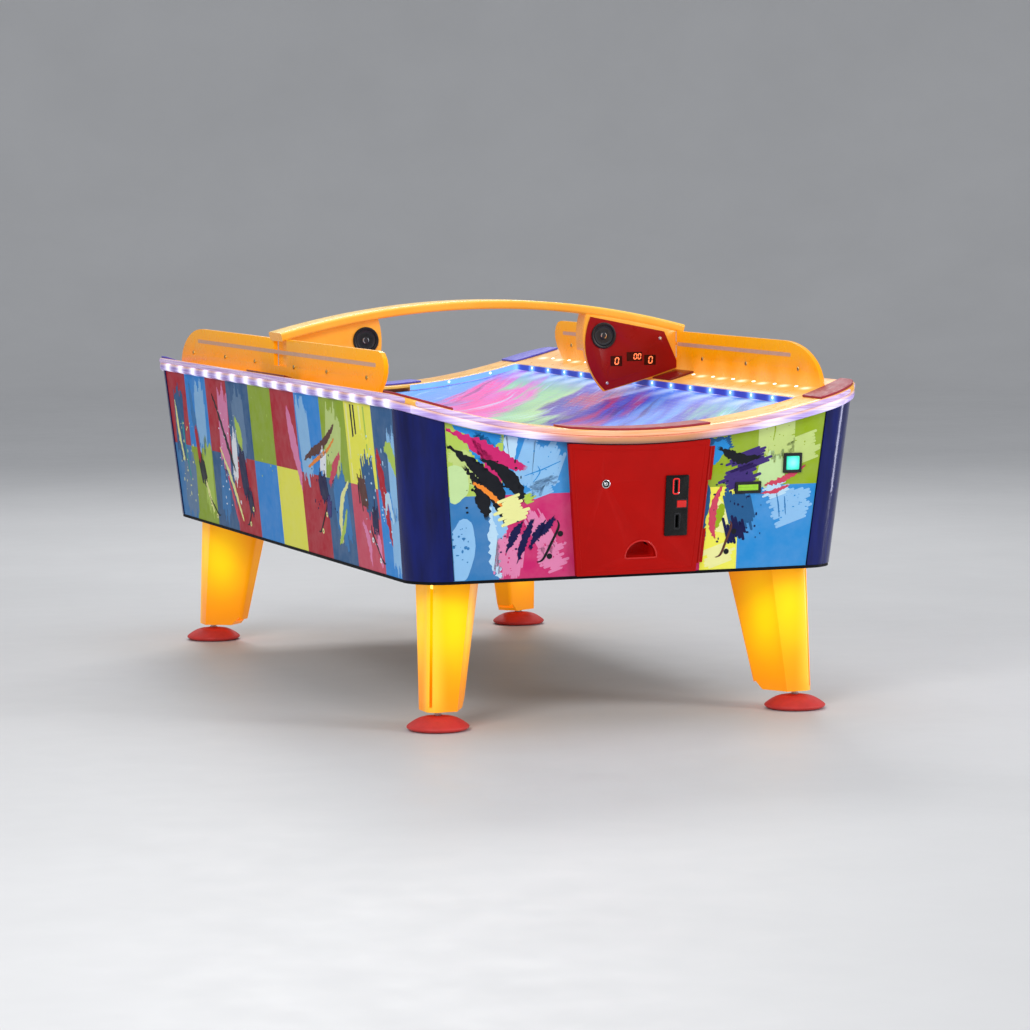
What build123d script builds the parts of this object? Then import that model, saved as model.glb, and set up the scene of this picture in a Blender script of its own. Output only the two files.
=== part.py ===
# Arcade air hockey table with a playfield that is concave across its width.
# Millimetres. Origin on the floor under the table's centre. +X across the width,
# +Y along the length, away from the coin door, +Z up.
from build123d import *
import os
from math import sqrt, cos, sin, tan, atan2, radians, degrees, pi

os.makedirs("parts", exist_ok=True)

# ------------------------------------------------------------- driving sizes
Z_BOT, Z_TOP = 387.0, 839.0          # underside and top corners of the cabinet
WB, LB = 597.0, 1145.0               # half width, half length at the underside
WT, LT = 639.0, 1194.0               # the same at the top corners
SAG = 102.0                          # how far the end edges dip in the middle
R_CORNER = 100.0                     # cabinet corner radius
PANEL_T = 16.0
R0 = (WT ** 2 + SAG ** 2) / (2 * SAG)   # radius of the concave cabinet top
ZC = Z_TOP - SAG + R0                # height of its axis, which lies along Y
BAND_T, CAP_T = 20.0, 15.0           # light band and rail cap thickness
OVERHANG = 15.0                      # rail beyond the cabinet's top edge
RAIL_W, RAIL_L = WT + OVERHANG, LT + OVERHANG
IN_W, IN_L = 509.0, 1057.0           # half sizes of the rail's inner opening
FIELD_DROP = 20.0                    # rail top to playfield
FIELD_T = 12.0
GOAL_W, GOAL_Y = 150.0, 1118.0       # half width and depth limit of a goal slot
GUARD_X0, GUARD_X1 = 590.0, 602.0    # puck guard sheet
GUARD_TOP = 977.0
ARCH_R, ARCH_T, ARCH_Z = 2377.0, 25.0, 1077.0
ARCH_W, ARCH_Y = 618.0, 60.0
FOOT_X, FOOT_Y = 509.0, 1050.0
FOOT_R = 82.0
STEM_R, BORE_R = 8.0, 8.05
LEG_Z0, LEG_Z1 = 50.0, 387.0
BASE_T = 18.0
DOOR_TOP_W, DOOR_BOT_W = 198.0, 171.0
DOOR_Z0, DOOR_Z1 = 397.0, 744.0
DOOR_T = 16.0

R_RAIL = R0 - BAND_T - CAP_T         # rail top
R_FIELD = R_RAIL + FIELD_DROP        # playfield top


def save(node, *solids):
    shapes = []
    for s in solids:
        if isinstance(s, (list, tuple, ShapeList)):
            shapes += list(s)
        else:
            shapes.append(s)
    out = []
    for s in shapes:
        out += list(s.solids())
    comp = Compound(children=out) if len(out) > 1 else out[0]
    comp.label = node
    export_step(comp, "parts/%s.step" % node)


def box(x0, x1, y0, y1, z0, z1):
    return Pos((x0 + x1) / 2, (y0 + y1) / 2, (z0 + z1) / 2) * Box(abs(x1 - x0), abs(y1 - y0), abs(z1 - z0))


def cyl_y(r, length=3000.0):
    """Round bar along Y about the axis of the concave top."""
    return Pos(0, 0, ZC) * (Rot(90, 0, 0) * Cylinder(r, length))


def prism(pts, z0, z1):
    face = make_face(Polyline(*pts, close=True))
    return Pos(0, 0, z0) * extrude(face, amount=z1 - z0, dir=(0, 0, 1))


def plate_yz(pts, x0, x1):
    """Plate with a (y, z) outline between two x values."""
    face = make_face(Polyline(*[(x0, y, z) for y, z in pts], close=True))
    return extrude(face, amount=x1 - x0, dir=(1, 0, 0))


def rounded_prism(w, l, r, z0, z1):
    return Pos(0, 0, z0) * extrude(RectangleRounded(2 * w, 2 * l, r), amount=z1 - z0)


def shell(r_low, r_high, body):
    """Part of body between two radii of the concave top (r_low is the lower, larger radius)."""
    return (body & cyl_y(r_low)) - cyl_y(r_high)


def mirror4(fn):
    return [fn(sx, sy) for sx in (-1, 1) for sy in (-1, 1)]


def w_at(z):
    return WB + (WT - WB) * (z - Z_BOT) / (Z_TOP - Z_BOT)


def l_at(z):
    return LB + (LT - LB) * (z - Z_BOT) / (Z_TOP - Z_BOT)


def rot180(s):
    return Rot(0, 0, 180) * s


# ------------------------------------------------- local frames of the end panels
TILT = atan2(LT - LB, Z_TOP - Z_BOT)
NEAR = Plane(origin=(0, -LB, Z_BOT), x_dir=(1, 0, 0), z_dir=(0, -cos(TILT), -sin(TILT)))
FAR = Plane(origin=(0, LB, Z_BOT), x_dir=(-1, 0, 0), z_dir=(0, cos(TILT), -sin(TILT)))
UP = 1 / cos(TILT)


def v_at(z):
    """Distance up the end panel for a height z."""
    return (z - Z_BOT) * UP


def on(plane, s):
    return plane.location * s


# ------------------------------------------------------------------- cabinet
Z_PANEL = Z_BOT + 8.0
Z_CUT = Z_TOP + 14.0
bowl = cyl_y(R0)

base_board = rounded_prism(WB - PANEL_T - 4, LB - PANEL_T - 4, 80, Z_BOT, Z_BOT + BASE_T)
bolt_xy = [(-38, -38), (38, -38), (-38, 38), (38, 38)]
PLATE_C = (470.0, 1011.0)            # centre of a leg's top plate


def leg_bolts_at(sx, sy, fn):
    return [fn(sx * PLATE_C[0] + bx, sy * PLATE_C[1] + by) for bx, by in bolt_xy]


for sx in (-1, 1):
    for sy in (-1, 1):
        for h in leg_bolts_at(sx, sy, lambda x, y: Pos(x, y, Z_BOT + 9) * Cylinder(5.5, 30)):
            base_board -= h
        base_board -= Pos(sx * PLATE_C[0] - sx * 12, sy * PLATE_C[1] - sy * 12, Z_BOT + 9) * Cylinder(14, 30)
# blower intake openings under each fan
for sy in (-1, 1):
    base_board -= Pos(0, sy * 420, Z_BOT + 9) * Cylinder(70, 30)
save("base_board", base_board)

trim = rounded_prism(WB + 2, LB + 2, R_CORNER + 2, Z_BOT, Z_PANEL)
trim -= rounded_prism(WB - PANEL_T - 3.5, LB - PANEL_T - 3.5, 80.5, Z_BOT - 1, Z_PANEL + 1)
save("bottom_trim", trim)


def side_panel(sx):
    z0, z1 = Z_PANEL, Z_CUT
    pts = [(sx * w_at(z0), -(l_at(z0) - R_CORNER), z0), (sx * w_at(z0), l_at(z0) - R_CORNER, z0),
           (sx * w_at(z1), l_at(z1) - R_CORNER, z1), (sx * w_at(z1), -(l_at(z1) - R_CORNER), z1)]
    a = atan2(WT - WB, Z_TOP - Z_BOT)
    f = make_face(Polyline(*pts, close=True))
    s = extrude(f, amount=PANEL_T, dir=(-sx * cos(a), 0, sin(a)))
    s -= box(-800, 800, -1300, 1300, Z_BOT - 30, z0)
    return s - bowl


def end_panel(sy):
    z0, z1 = Z_PANEL, Z_CUT
    pts = [(-(w_at(z0) - R_CORNER), sy * l_at(z0), z0), (w_at(z0) - R_CORNER, sy * l_at(z0), z0),
           (w_at(z1) - R_CORNER, sy * l_at(z1), z1), (-(w_at(z1) - R_CORNER), sy * l_at(z1), z1)]
    f = make_face(Polyline(*pts, close=True))
    s = extrude(f, amount=PANEL_T, dir=(0, -sy * cos(TILT), sin(TILT)))
    s -= box(-800, 800, -1300, 1300, Z_BOT - 30, z0)
    return s - bowl


save("side_panel_left", side_panel(-1))
save("side_panel_right", side_panel(1))


def post(sx, sy):
    """Quarter-round corner profile, leaning outward with the panels."""
    ring = Circle(R_CORNER + 3) - Circle(R_CORNER - PANEL_T)
    ring &= Pos(sx * 60, sy * 60) * Rectangle(120, 120)
    dz = Z_CUT - Z_PANEL
    d = Vector(sx * (WT - WB), sy * (LT - LB), Z_TOP - Z_BOT)
    z0 = Z_PANEL
    s = extrude(Pos(sx * (w_at(z0) - R_CORNER), sy * (l_at(z0) - R_CORNER), z0) * ring,
                amount=dz * d.length / d.Z, dir=(d.X, d.Y, d.Z))
    return s - bowl


save("corner_profiles", mirror4(post))

# near end panel: door opening, button and display cut-outs
near = end_panel(-1)
OPEN_X0, OPEN_X1, OPEN_V0, OPEN_V1 = -150.0, 152.0, v_at(417), v_at(716)
near -= on(NEAR, box(OPEN_X0, OPEN_X1, OPEN_V0, OPEN_V1, -30, 10))
BTN_X, BTN_V = 443.0, v_at(672)
LCD_X, LCD_V = 318.0, v_at(610.5)
near -= on(NEAR, box(BTN_X - 20, BTN_X + 20, BTN_V - 20, BTN_V + 20, -30, 10))
near -= on(NEAR, box(LCD_X - 31, LCD_X + 31, LCD_V - 10, LCD_V + 10, -30, 10))
save("end_panel_near", near)

# far end panel: puck outlet, mains inlet and switch
OUT_X, OUT_V, OUT_R = 13.0, v_at(440), 43.0
half_disc = Pos(0, 0) * (Circle(OUT_R) & Pos(0, OUT_R / 2) * Rectangle(2 * OUT_R, OUT_R))
far = end_panel(1)
far -= on(FAR, Pos(OUT_X, OUT_V, -30) * extrude(half_disc, amount=60))
INLET_X, INLET_V = -330.0, v_at(450)
far -= on(FAR, box(INLET_X - 24, INLET_X + 24, INLET_V - 34, INLET_V + 34, -30, 10))
save("end_panel_far", far)

# -------------------------------------------------------------- rails and field
outline = rounded_prism(RAIL_W, RAIL_L, R_CORNER + OVERHANG, 650, 1000)
opening = rounded_prism(IN_W, IN_L, 14, 640, 1010)
ring = outline - opening
band_ring = rounded_prism(RAIL_W - 2, RAIL_L - 2, R_CORNER + OVERHANG - 2, 650, 1000) - opening
band = shell(R0, R0 - BAND_T, band_ring)
cap = shell(R0 - BAND_T, R_RAIL, ring)
goal_cut = (box(-GOAL_W, GOAL_W, -GOAL_Y, -IN_L + 20, 600, 900) + box(-GOAL_W, GOAL_W, IN_L - 20, GOAL_Y, 600, 900))
slot = (goal_cut & cyl_y(R0 + 5)) - cyl_y(R_RAIL + 8)
band -= slot
cap -= slot
save("light_band", band)
save("rail_cap", cap)

led = rounded_prism(IN_W, IN_L, 14, 640, 1010) - rounded_prism(IN_W - 3, IN_L - 3, 11, 630, 1020)
led = shell(R_FIELD - 2, R_RAIL + 2, led)
led -= box(-GOAL_W, GOAL_W, -IN_L - 5, -IN_L + 20, 600, 900) + box(-GOAL_W, GOAL_W, IN_L - 20, IN_L + 5, 600, 900)
save("field_led_strip", led)

field = shell(R_FIELD + FIELD_T, R_FIELD, rounded_prism(IN_W - 0.5, IN_L - 0.5, 13, 640, 1010))
save("playfield", field)

# air box under the playfield
PL_W, PL_L, PL_Z = 478.0, 1020.0, 610.0
pl = box(-PL_W, PL_W, -PL_L, PL_L, PL_Z, 900) - box(-PL_W + 12, PL_W - 12, -PL_L + 12, PL_L - 12, PL_Z + 12, 950)
pl -= cyl_y(R_FIELD + FIELD_T)
for sy in (-1, 1):
    pl -= Pos(0, sy * 420, PL_Z + 6) * Cylinder(60, 40)
save("plenum_box", pl)

ribs = []
for y in (-760.0, -380.0, 0.0, 380.0 + 200.0, 800.0):
    r = box(-PL_W + 12, PL_W - 12, y - 6, y + 6, PL_Z + 12, 900) - cyl_y(R_FIELD + FIELD_T)
    for x in (-330, -110, 110, 330):
        r -= Pos(x, y, PL_Z + 70) * (Rot(90, 0, 0) * Cylinder(38, 40))
    ribs.append(r)
save("field_ribs", ribs)

# two bearers that carry the air box on the base board
bearers = []
for x in (-300.0, 300.0):
    b = box(x - 20, x + 20, -900, 900, Z_BOT + BASE_T, PL_Z)
    b -= box(x - 30, x + 30, -560, -280, Z_BOT + BASE_T + 40, PL_Z - 40)
    b -= box(x - 30, x + 30, 280, 560, Z_BOT + BASE_T + 40, PL_Z - 40)
    bearers.append(b)
save("bearers", bearers)

# --------------------------------------------------------------------- goals
goals = []
G0, G1, GZ = 1061.0, 1124.0, 668.0
for sy in (-1, 1):
    g = box(-166, 166, sy * G0, sy * G1, GZ, 760) - box(-162, 162, sy * (G0 + 4), sy * (G1 - 4), 620, 780)
    g -= cyl_y(R0)
    # funnel, then a short duct down to the outlet
    cx = OUT_X if sy < 0 else -OUT_X

    def rect(w, y0, y1, z, x=0.0):
        return (Pos(x, sy * (y0 + y1) / 2, z) * Rectangle(w, y1 - y0)).face()
    funnel = loft([rect(98, G0, 1109, 560, cx), rect(332, G0, G1, GZ)], ruled=True)
    funnel -= loft([rect(90, G0 + 4, 1105, 560, cx), rect(324, G0 + 4, G1 - 4, GZ)], ruled=True)
    duct = box(cx - 49, cx + 49, sy * G0, sy * 1109, 496, 560) - box(cx - 45, cx + 45, sy * (G0 + 4), sy * 1105, 490, 570)
    goals.append(g + funnel + duct)
save("goal_boxes", goals)

# ---------------------------------------------------------------------- legs
OX_T, OY_T = 538.0, 1079.0
OX_B, OY_B = 547.0, 1088.0


def kite(p, q, s, inset=0.0):
    """Leg section: square outer corner, sides flaring to a blunt inner corner."""
    pts = [(0, 0), (p, 0), (q, s), (s, q), (0, p)]
    if inset <= 0:
        return pts
    out = []
    n = len(pts)
    for i in range(n):
        (ax, ay), (bx, by), (cx, cy) = pts[i - 1], pts[i], pts[(i + 1) % n]
        d1 = Vector(bx - ax, by - ay, 0).normalized()
        d2 = Vector(cx - bx, cy - by, 0).normalized()
        n1, n2 = Vector(-d1.Y, d1.X, 0), Vector(-d2.Y, d2.X, 0)
        k = inset / (1 + n1.dot(n2))
        out.append((bx + (n1.X + n2.X) * k, by + (n1.Y + n2.Y) * k))
    return out


TOPK, BOTK = (112.0, 186.0, 133.0), (78.0, 131.0, 97.0)


def leg_section(sx, sy, z, inset=0.0):
    t = (z - LEG_Z0) / (LEG_Z1 - LEG_Z0)
    p, q, s = [b + (a - b) * t for a, b in zip(TOPK, BOTK)]
    ox, oy = OX_B + (OX_T - OX_B) * t, OY_B + (OY_T - OY_B) * t
    return make_face(Polyline(*[(sx * (ox - u), sy * (oy - v), z) for u, v in kite(p, q, s, inset)], close=True))


def leg(sx, sy):
    outer = loft([leg_section(sx, sy, LEG_Z0), leg_section(sx, sy, LEG_Z1)], ruled=True)
    edges = [e for e in outer.edges() if abs(e.bounding_box().size.Z) > 300]

    def mid(e):
        c = e.center()
        return abs(c.X) + abs(c.Y)
    edges.sort(key=mid)
    outer = fillet([edges[-1]], 26)
    edges = [e for e in outer.edges() if abs(e.bounding_box().size.Z) > 300]
    edges.sort(key=mid)
    outer = fillet(edges[:2], 14)
    # cut across the bottom inner corner
    cutter = Pos(sx * (OX_B - 112), sy * (OY_B - 112), LEG_Z0) * (Rot(0, 0, degrees(atan2(sy, sx))) * (Rot(0, 45, 0) * Box(34, 300, 34)))
    outer -= cutter
    inner = loft([leg_section(sx, sy, LEG_Z0 + 12, 5), leg_section(sx, sy, LEG_Z1 - 6, 5)], ruled=True)
    s = outer - inner
    plate_hole = [Pos(sx * PLATE_C[0] + bx, sy * PLATE_C[1] + by, LEG_Z1 - 3) * Cylinder(4.5, 20) for bx, by in bolt_xy]
    s += Pos(sx * FOOT_X, sy * FOOT_Y, LEG_Z0 + 12 + 24) * Cylinder(16, 48)
    s -= Pos(sx * FOOT_X, sy * FOOT_Y, LEG_Z0 + 30) * Cylinder(BORE_R, 90)
    for h in plate_hole:
        s -= h
    s -= Pos(sx * PLATE_C[0] - sx * 12, sy * PLATE_C[1] - sy * 12, LEG_Z1 - 3) * Cylinder(14, 20)
    return s


names = {(-1, -1): "near_left", (1, -1): "near_right", (-1, 1): "far_left", (1, 1): "far_right"}
hardware, lamps = [], []
for (sx, sy), nm in names.items():
    save("leg_" + nm, leg(sx, sy))
    # foot pad: domed disc with a socket for the stem
    prof = make_face([Line((0, 0), (64, 0)),
                      ThreePointArc((64, 0), (76.5, 3.2), (FOOT_R, 9)),
                      ThreePointArc((FOOT_R, 9), (52, 29), (14, 38)),
                      Line((14, 38), (0, 38)), Line((0, 38), (0, 0))])
    pad = revolve(Plane.XZ * prof, Axis.Z)
    pad -= Pos(0, 0, 32) * Cylinder(STEM_R, 12.4)
    save("foot_pad_" + nm, Pos(sx * FOOT_X, sy * FOOT_Y, 0) * pad)
    stem = Pos(0, 0, 26 + 52) * Cylinder(STEM_R, 104)
    stem += Pos(0, 0, 39.5) * extrude(RegularPolygon(11, 6), amount=2.2)
    save("foot_stem_" + nm, Pos(sx * FOOT_X, sy * FOOT_Y, 0) * stem)
    for bx, by in bolt_xy:
        x, y = sx * PLATE_C[0] + bx, sy * PLATE_C[1] + by
        shank = Pos(x, y, LEG_Z1 + 9) * Cylinder(4, 42)
        head = Pos(x, y, LEG_Z1 + BASE_T) * extrude(RegularPolygon(8.5, 6), amount=7)
        hardware.append(shank + head)
    nut = Pos(sx * FOOT_X, sy * FOOT_Y, LEG_Z0 + 60) * extrude(RegularPolygon(14, 6) - Circle(BORE_R), amount=10)
    hardware.append(nut)
    lamps.append(Pos(sx * (PLATE_C[0] + 24), sy * (PLATE_C[1] + 18), LEG_Z1 - 14) * Box(40, 30, 16))
save("leg_hardware", hardware)
save("leg_lamps", lamps)

# ---------------------------------------------------------------- rail pads
PAD_T = 6.0
rail_inset = rounded_prism(RAIL_W - 6, RAIL_L - 6, R_CORNER + OVERHANG - 6, 650, 1000)


def pads(sy):
    mid = box(-200, 200, sy * 1092, sy * 1197, 650, 1000)
    out = [shell(R_RAIL, R_RAIL - PAD_T, mid)]
    for sx in (-1, 1):
        # the pad beside the square end of a guard reaches further along the side
        reach = 1040.0
        pts = [(sx * 514, sy * 1086), (sx * 660, sy * reach), (sx * 660, sy * 1240), (sx * 514, sy * 1240)]
        c = prism(pts, 650, 1000) & rail_inset
        out.append(shell(R_RAIL, R_RAIL - PAD_T, c))
    return out


save("rail_pads_near", pads(-1))
save("rail_pads_far", pads(1))

# ------------------------------------------------- tower bases, guards, arch
BASE_PL = 5.0


def tower_base(sx):
    return shell(R_RAIL, R_RAIL - BASE_PL, box(sx * 516, sx * 648, -185, 185, 700, 1000))


save("tower_bases", tower_base(-1), tower_base(1))

arch_outer = Pos(0, 0, ARCH_Z - ARCH_R) * (Rot(90, 0, 0) * Cylinder(ARCH_R, 2 * ARCH_Y))
arch_inner = Pos(0, 0, ARCH_Z - ARCH_R) * (Rot(90, 0, 0) * Cylinder(ARCH_R - ARCH_T, 2 * ARCH_Y + 10))


def arch_z(x, r):
    """Height of the arch's upper (r = ARCH_R) or lower surface at x."""
    return ARCH_Z - ARCH_R + sqrt(r ** 2 - x ** 2)


ay, r_low = -ARCH_Y, ARCH_R - ARCH_T
arch_face = make_face([
    ThreePointArc((-ARCH_W, ay, arch_z(ARCH_W, ARCH_R)), (0, ay, ARCH_Z), (ARCH_W, ay, arch_z(ARCH_W, ARCH_R))),
    Line((ARCH_W, ay, arch_z(ARCH_W, ARCH_R)), (ARCH_W, ay, arch_z(ARCH_W, r_low))),
    ThreePointArc((ARCH_W, ay, arch_z(ARCH_W, r_low)), (0, ay, ARCH_Z - ARCH_T), (-ARCH_W, ay, arch_z(ARCH_W, r_low))),
    Line((-ARCH_W, ay, arch_z(ARCH_W, r_low)), (-ARCH_W, ay, arch_z(ARCH_W, ARCH_R))),
])
arch = extrude(arch_face, amount=2 * ARCH_Y, dir=(0, 1, 0))
save("arch", arch)

on_rail = cyl_y(R_RAIL)


def guard_right():
    """Sheet with a quarter-ellipse near end and a bulged far end."""
    a, b = 240.0, GUARD_TOP - 862.0
    pts = []
    for i in range(0, 13):
        t = i / 12 * pi / 2
        pts.append((-800 - a * cos(t), 862 + b * sin(t)))
    pts = [(-1046, 850)] + pts
    pts += [(868, GUARD_TOP), (893, 972), (911, 958), (919, 940), (917, 921), (901, 897), (872, 874), (858, 862), (855, 850)]
    s = plate_yz(pts, GUARD_X0, GUARD_X1)
    s = s & on_rail
    s -= tower_base(1)
    s -= arch_outer & box(-700, 700, -ARCH_Y - 1, ARCH_Y + 1, 900, 1100)
    return s


gr = guard_right()
screw_y = [-900.0, -555.0, -250.0, 130.0, 430.0, 775.0]
for y in screw_y:
    gr -= Pos(596, y, 903) * (Rot(0, 90, 0) * Cylinder(3.2, 30))
save("guard_right", gr)
save("guard_left", rot180(gr))

screws = []
for y in screw_y:
    c = Pos(596, y, 903) * (Rot(0, 90, 0) * Cylinder(3.2, 12))
    c += Pos(GUARD_X1 + 1.5, y, 903) * (Rot(0, 90, 0) * Cylinder(6.5, 3))
    c += Pos(GUARD_X0 - 1.5, y, 903) * (Rot(0, 90, 0) * Cylinder(6.5, 3))
    screws.append(c)
screws += [rot180(s) for s in screws]

# ---------------------------------------------------------------------- towers
# Panel outline in x, z on the face towards -Y; the right tower carries the near panel.
TP = [(319, 1024), (549, 977), (588, 906), (588, 872), (505, 845), (363, 809)]
FACE_Y = -ARCH_Y
SPK = (358.0, 969.0)
PLATE_D, BODY_BACK, BODY_Z, BODY_INSET = 12.0, 32.0, 925.0, 10.0
WINDOWS = [(398, 894, 34, 27), (455, 906, 46, 24), (504, 895, 34, 27)]
P_SCREWS = [(537, 957), (369, 830)]


def tower_outline(grow=0.0):
    tl, tr, r, rb, m, tip = TP
    g = grow
    return make_face([
        ThreePointArc((tip[0] - g * 0.6, FACE_Y, tip[1] - g), (302 - g, FACE_Y, 936), (tl[0] - g, FACE_Y, tl[1] + 30)),
        Line((tl[0] - g, FACE_Y, tl[1] + 30), (588, FACE_Y, 1000)),
        Line((588, FACE_Y, 1000), (588, FACE_Y, rb[1] - g)),
        Line((588, FACE_Y, rb[1] - g), (m[0], FACE_Y, m[1] - g)),
        Line((m[0], FACE_Y, m[1] - g), (tip[0] - g * 0.6, FACE_Y, tip[1] - g)),
    ])


def tower():
    # face plate behind the whole display panel, a box behind its upper half, a foot on the base plate
    outer = extrude(tower_outline(3.0), amount=PLATE_D, dir=(0, 1, 0))
    body = extrude(tower_outline(-BODY_INSET), amount=BODY_BACK - FACE_Y, dir=(0, 1, 0))
    outer += body & box(200, 588, FACE_Y + 5, BODY_BACK, BODY_Z, 1100)
    outer += box(480, 588, FACE_Y + 5, BODY_BACK, 840, BODY_Z + 5)
    outer += box(366, 536, FACE_Y + 5, FACE_Y + 22, 866, BODY_Z + 5)
    outer -= Pos(0, 0, ARCH_Z - ARCH_R) * (Rot(90, 0, 0) * (Cylinder(ARCH_R + 60, 200) - Cylinder(ARCH_R - ARCH_T, 210)))
    outer = outer & on_rail
    outer -= tower_base(1)
    # pockets behind the display panel, for the loudspeakers and for the digit modules
    pocket = extrude(make_face(Polyline((346, FACE_Y, 998), (530, FACE_Y, 962), (560, FACE_Y, 934), (340, FACE_Y, 934), close=True)),
                     amount=BODY_BACK - 8 - FACE_Y, dir=(0, 1, 0))
    outer -= pocket
    outer -= box(374, 528, FACE_Y - 1, FACE_Y + 18, 875, 923)
    # loudspeaker recesses in both faces and holes for the panel screws
    for y in (FACE_Y, BODY_BACK):
        outer -= Pos(SPK[0], y, SPK[1]) * (Rot(90, 0, 0) * Cylinder(34, 40))
        outer -= Pos(SPK[0], y, SPK[1]) * (Rot(90, 0, 0) * Cylinder(21, 72))
    for x, z in P_SCREWS:
        outer -= Pos(x, FACE_Y, z) * (Rot(90, 0, 0) * Cylinder(2.6, 12))
    return outer


tw = tower()
save("tower_right", tw)
save("tower_left", rot180(tw))


def display_panel():
    tl, tr, r, rb, m, tip = TP
    y = FACE_Y - 4
    f = make_face([
        ThreePointArc((tip[0], y, tip[1]), (302, y, 942), (tl[0], y, tl[1])),
        Line((tl[0], y, tl[1]), (tr[0], y, tr[1])),
        Line((tr[0], y, tr[1]), (588, y, 892)),
        Line((588, y, 892), (588, y, 871)),
        Line((588, y, 871), (m[0], y, m[1])),
        Line((m[0], y, m[1]), (tip[0], y, tip[1])),
    ])
    s = extrude(f, amount=4, dir=(0, 1, 0))
    s -= Pos(0, 0, ARCH_Z - ARCH_R) * (Rot(90, 0, 0) * (Cylinder(ARCH_R + 60, 200) - Cylinder(ARCH_R - ARCH_T, 210)))
    s -= Pos(SPK[0], y + 2, SPK[1]) * (Rot(90, 0, 0) * Cylinder(34, 10))
    for x, z, w, h in WINDOWS:
        s -= box(x - w / 2, x + w / 2, y - 2, y + 6, z - h / 2, z + h / 2)
    for x, z in P_SCREWS:
        s -= Pos(x, y + 2, z) * (Rot(90, 0, 0) * Cylinder(2.6, 12))
    return s


panel = display_panel()
save("display_panel_near", panel)
save("display_panel_far", rot180(panel))

for x, z in P_SCREWS:
    c = Pos(x, FACE_Y - 1, z) * (Rot(90, 0, 0) * Cylinder(2.6, 6))
    c += Pos(x, FACE_Y - 4 - 1.2, z) * (Rot(90, 0, 0) * Cylinder(5.0, 2.4))
    screws += [c, rot180(c)]
save("screws", screws)

# digit modules behind the windows
mods = []
for x, z, w, h in WINDOWS:
    m = box(x - w / 2 + 0.4, x + w / 2 - 0.4, FACE_Y - 2.5, FACE_Y + 14, z - h / 2 + 0.4, z + h / 2 - 0.4)
    mods.append(m)
mods.append(box(376, 526, FACE_Y + 14, FACE_Y + 16, 877, 921))
save("score_displays", mods, [rot180(m) for m in mods])


def speaker(y_face, out):
    """Round loudspeaker with a flange outside and a magnet inside."""
    def c(r, y0, y1):
        return Pos(SPK[0], (y0 + y1) / 2, SPK[1]) * (Rot(90, 0, 0) * Cylinder(r, abs(y1 - y0)))
    s = c(38, y_face, y_face + out * 5) + c(33, y_face - out * 18, y_face) + c(20, y_face - out * 34, y_face - out * 18)
    s -= c(30, y_face + out * 1.5, y_face + out * 6)
    s += c(12, y_face + out * 1.0, y_face + out * 4)
    return s


spk = [speaker(FACE_Y - 4, -1), speaker(BODY_BACK, 1)]
save("speakers", spk, [rot180(s) for s in spk])

# ------------------------------------------------------------- coin door group
DV0, DV1 = v_at(DOOR_Z0), v_at(DOOR_Z1)
GAP = 0.6                            # door to end panel
door = make_face(Polyline((-DOOR_BOT_W + 8, DV0), (DOOR_BOT_W, DV0), (DOOR_TOP_W, DV1), (-DOOR_TOP_W, DV1), close=True))
door = Pos(0, 0, GAP) * extrude(door, amount=DOOR_T)
COIN_X, COIN_V, COIN_W, COIN_H = 108.0, v_at(574), 64.0, 160.0
LOCK_X, LOCK_V = -92.0, v_at(637)
door -= box(COIN_X - 26, COIN_X + 26, COIN_V - 72, COIN_V + 72, -5, 30)
door -= Pos(LOCK_X, LOCK_V, 8) * Cylinder(9.55, 40)
door -= Pos(OUT_X, OUT_V, -5) * extrude(half_disc, amount=40)
# the back of the door is hollow, as a folded steel tray is
tray = make_face(Polyline((-DOOR_BOT_W + 12, DV0 + 4), (DOOR_BOT_W - 7, DV0 + 4), (DOOR_TOP_W - 9, DV1 - 22), (-DOOR_TOP_W + 5, DV1 - 22), close=True))
keep = box(COIN_X - 29, COIN_X + 29, COIN_V - 75, COIN_V + 75, -5, 30) + Pos(LOCK_X, LOCK_V, 8) * Cylinder(14, 40)
keep += Pos(OUT_X, OUT_V, -5) * extrude(Circle(OUT_R + 4) & Pos(0, (OUT_R + 4) / 2 - 2) * Rectangle(2 * OUT_R + 8, OUT_R + 8), amount=40)
door -= Pos(0, 0, -1) * extrude(tray, amount=GAP + DOOR_T - 2) - keep
# hinge line runs up the door's right edge
HX0, HX1 = DOOR_BOT_W + 6.0, DOOR_TOP_W + 6.0
SLANT = atan2(HX1 - HX0, DV1 - DV0)
HINGE_Z = 6.6


def along_hinge(r, v0, v1):
    """Round bar on the hinge line between two distances up the panel."""
    t0, t1 = (v0 - DV0) / (DV1 - DV0), (v1 - DV0) / (DV1 - DV0)
    p0 = Vector(HX0 + (HX1 - HX0) * t0, v0, HINGE_Z)
    p1 = Vector(HX0 + (HX1 - HX0) * t1, v1, HINGE_Z)
    d = p1 - p0
    return Plane(origin=p0, z_dir=d).location * (Pos(0, 0, d.length / 2) * Cylinder(r, d.length))


K = 5.0                              # knuckle radius
V_A, V_B, V_C, V_D = DV0 + 20, DV0 + 110, DV1 - 110, DV1 - 20
door -= along_hinge(K + 0.8, DV0 - 5, DV1 + 5)
knuckle_mid = along_hinge(K, V_B + 1, V_C - 1)
door_knuckle = knuckle_mid + (Plane(origin=(0, 0, 0)).location * prism(
    [(HX0 + (HX1 - HX0) * ((V_B + 1 - DV0) / (DV1 - DV0)) - 14, V_B + 1), (HX0 + (HX1 - HX0) * ((V_B + 1 - DV0) / (DV1 - DV0)), V_B + 1),
     (HX0 + (HX1 - HX0) * ((V_C - 1 - DV0) / (DV1 - DV0)), V_C - 1), (HX0 + (HX1 - HX0) * ((V_C - 1 - DV0) / (DV1 - DV0)) - 14, V_C - 1)],
    HINGE_Z + 1.2, HINGE_Z + 4.0))
door_knuckle -= along_hinge(2.05, DV0, DV1)
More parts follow.
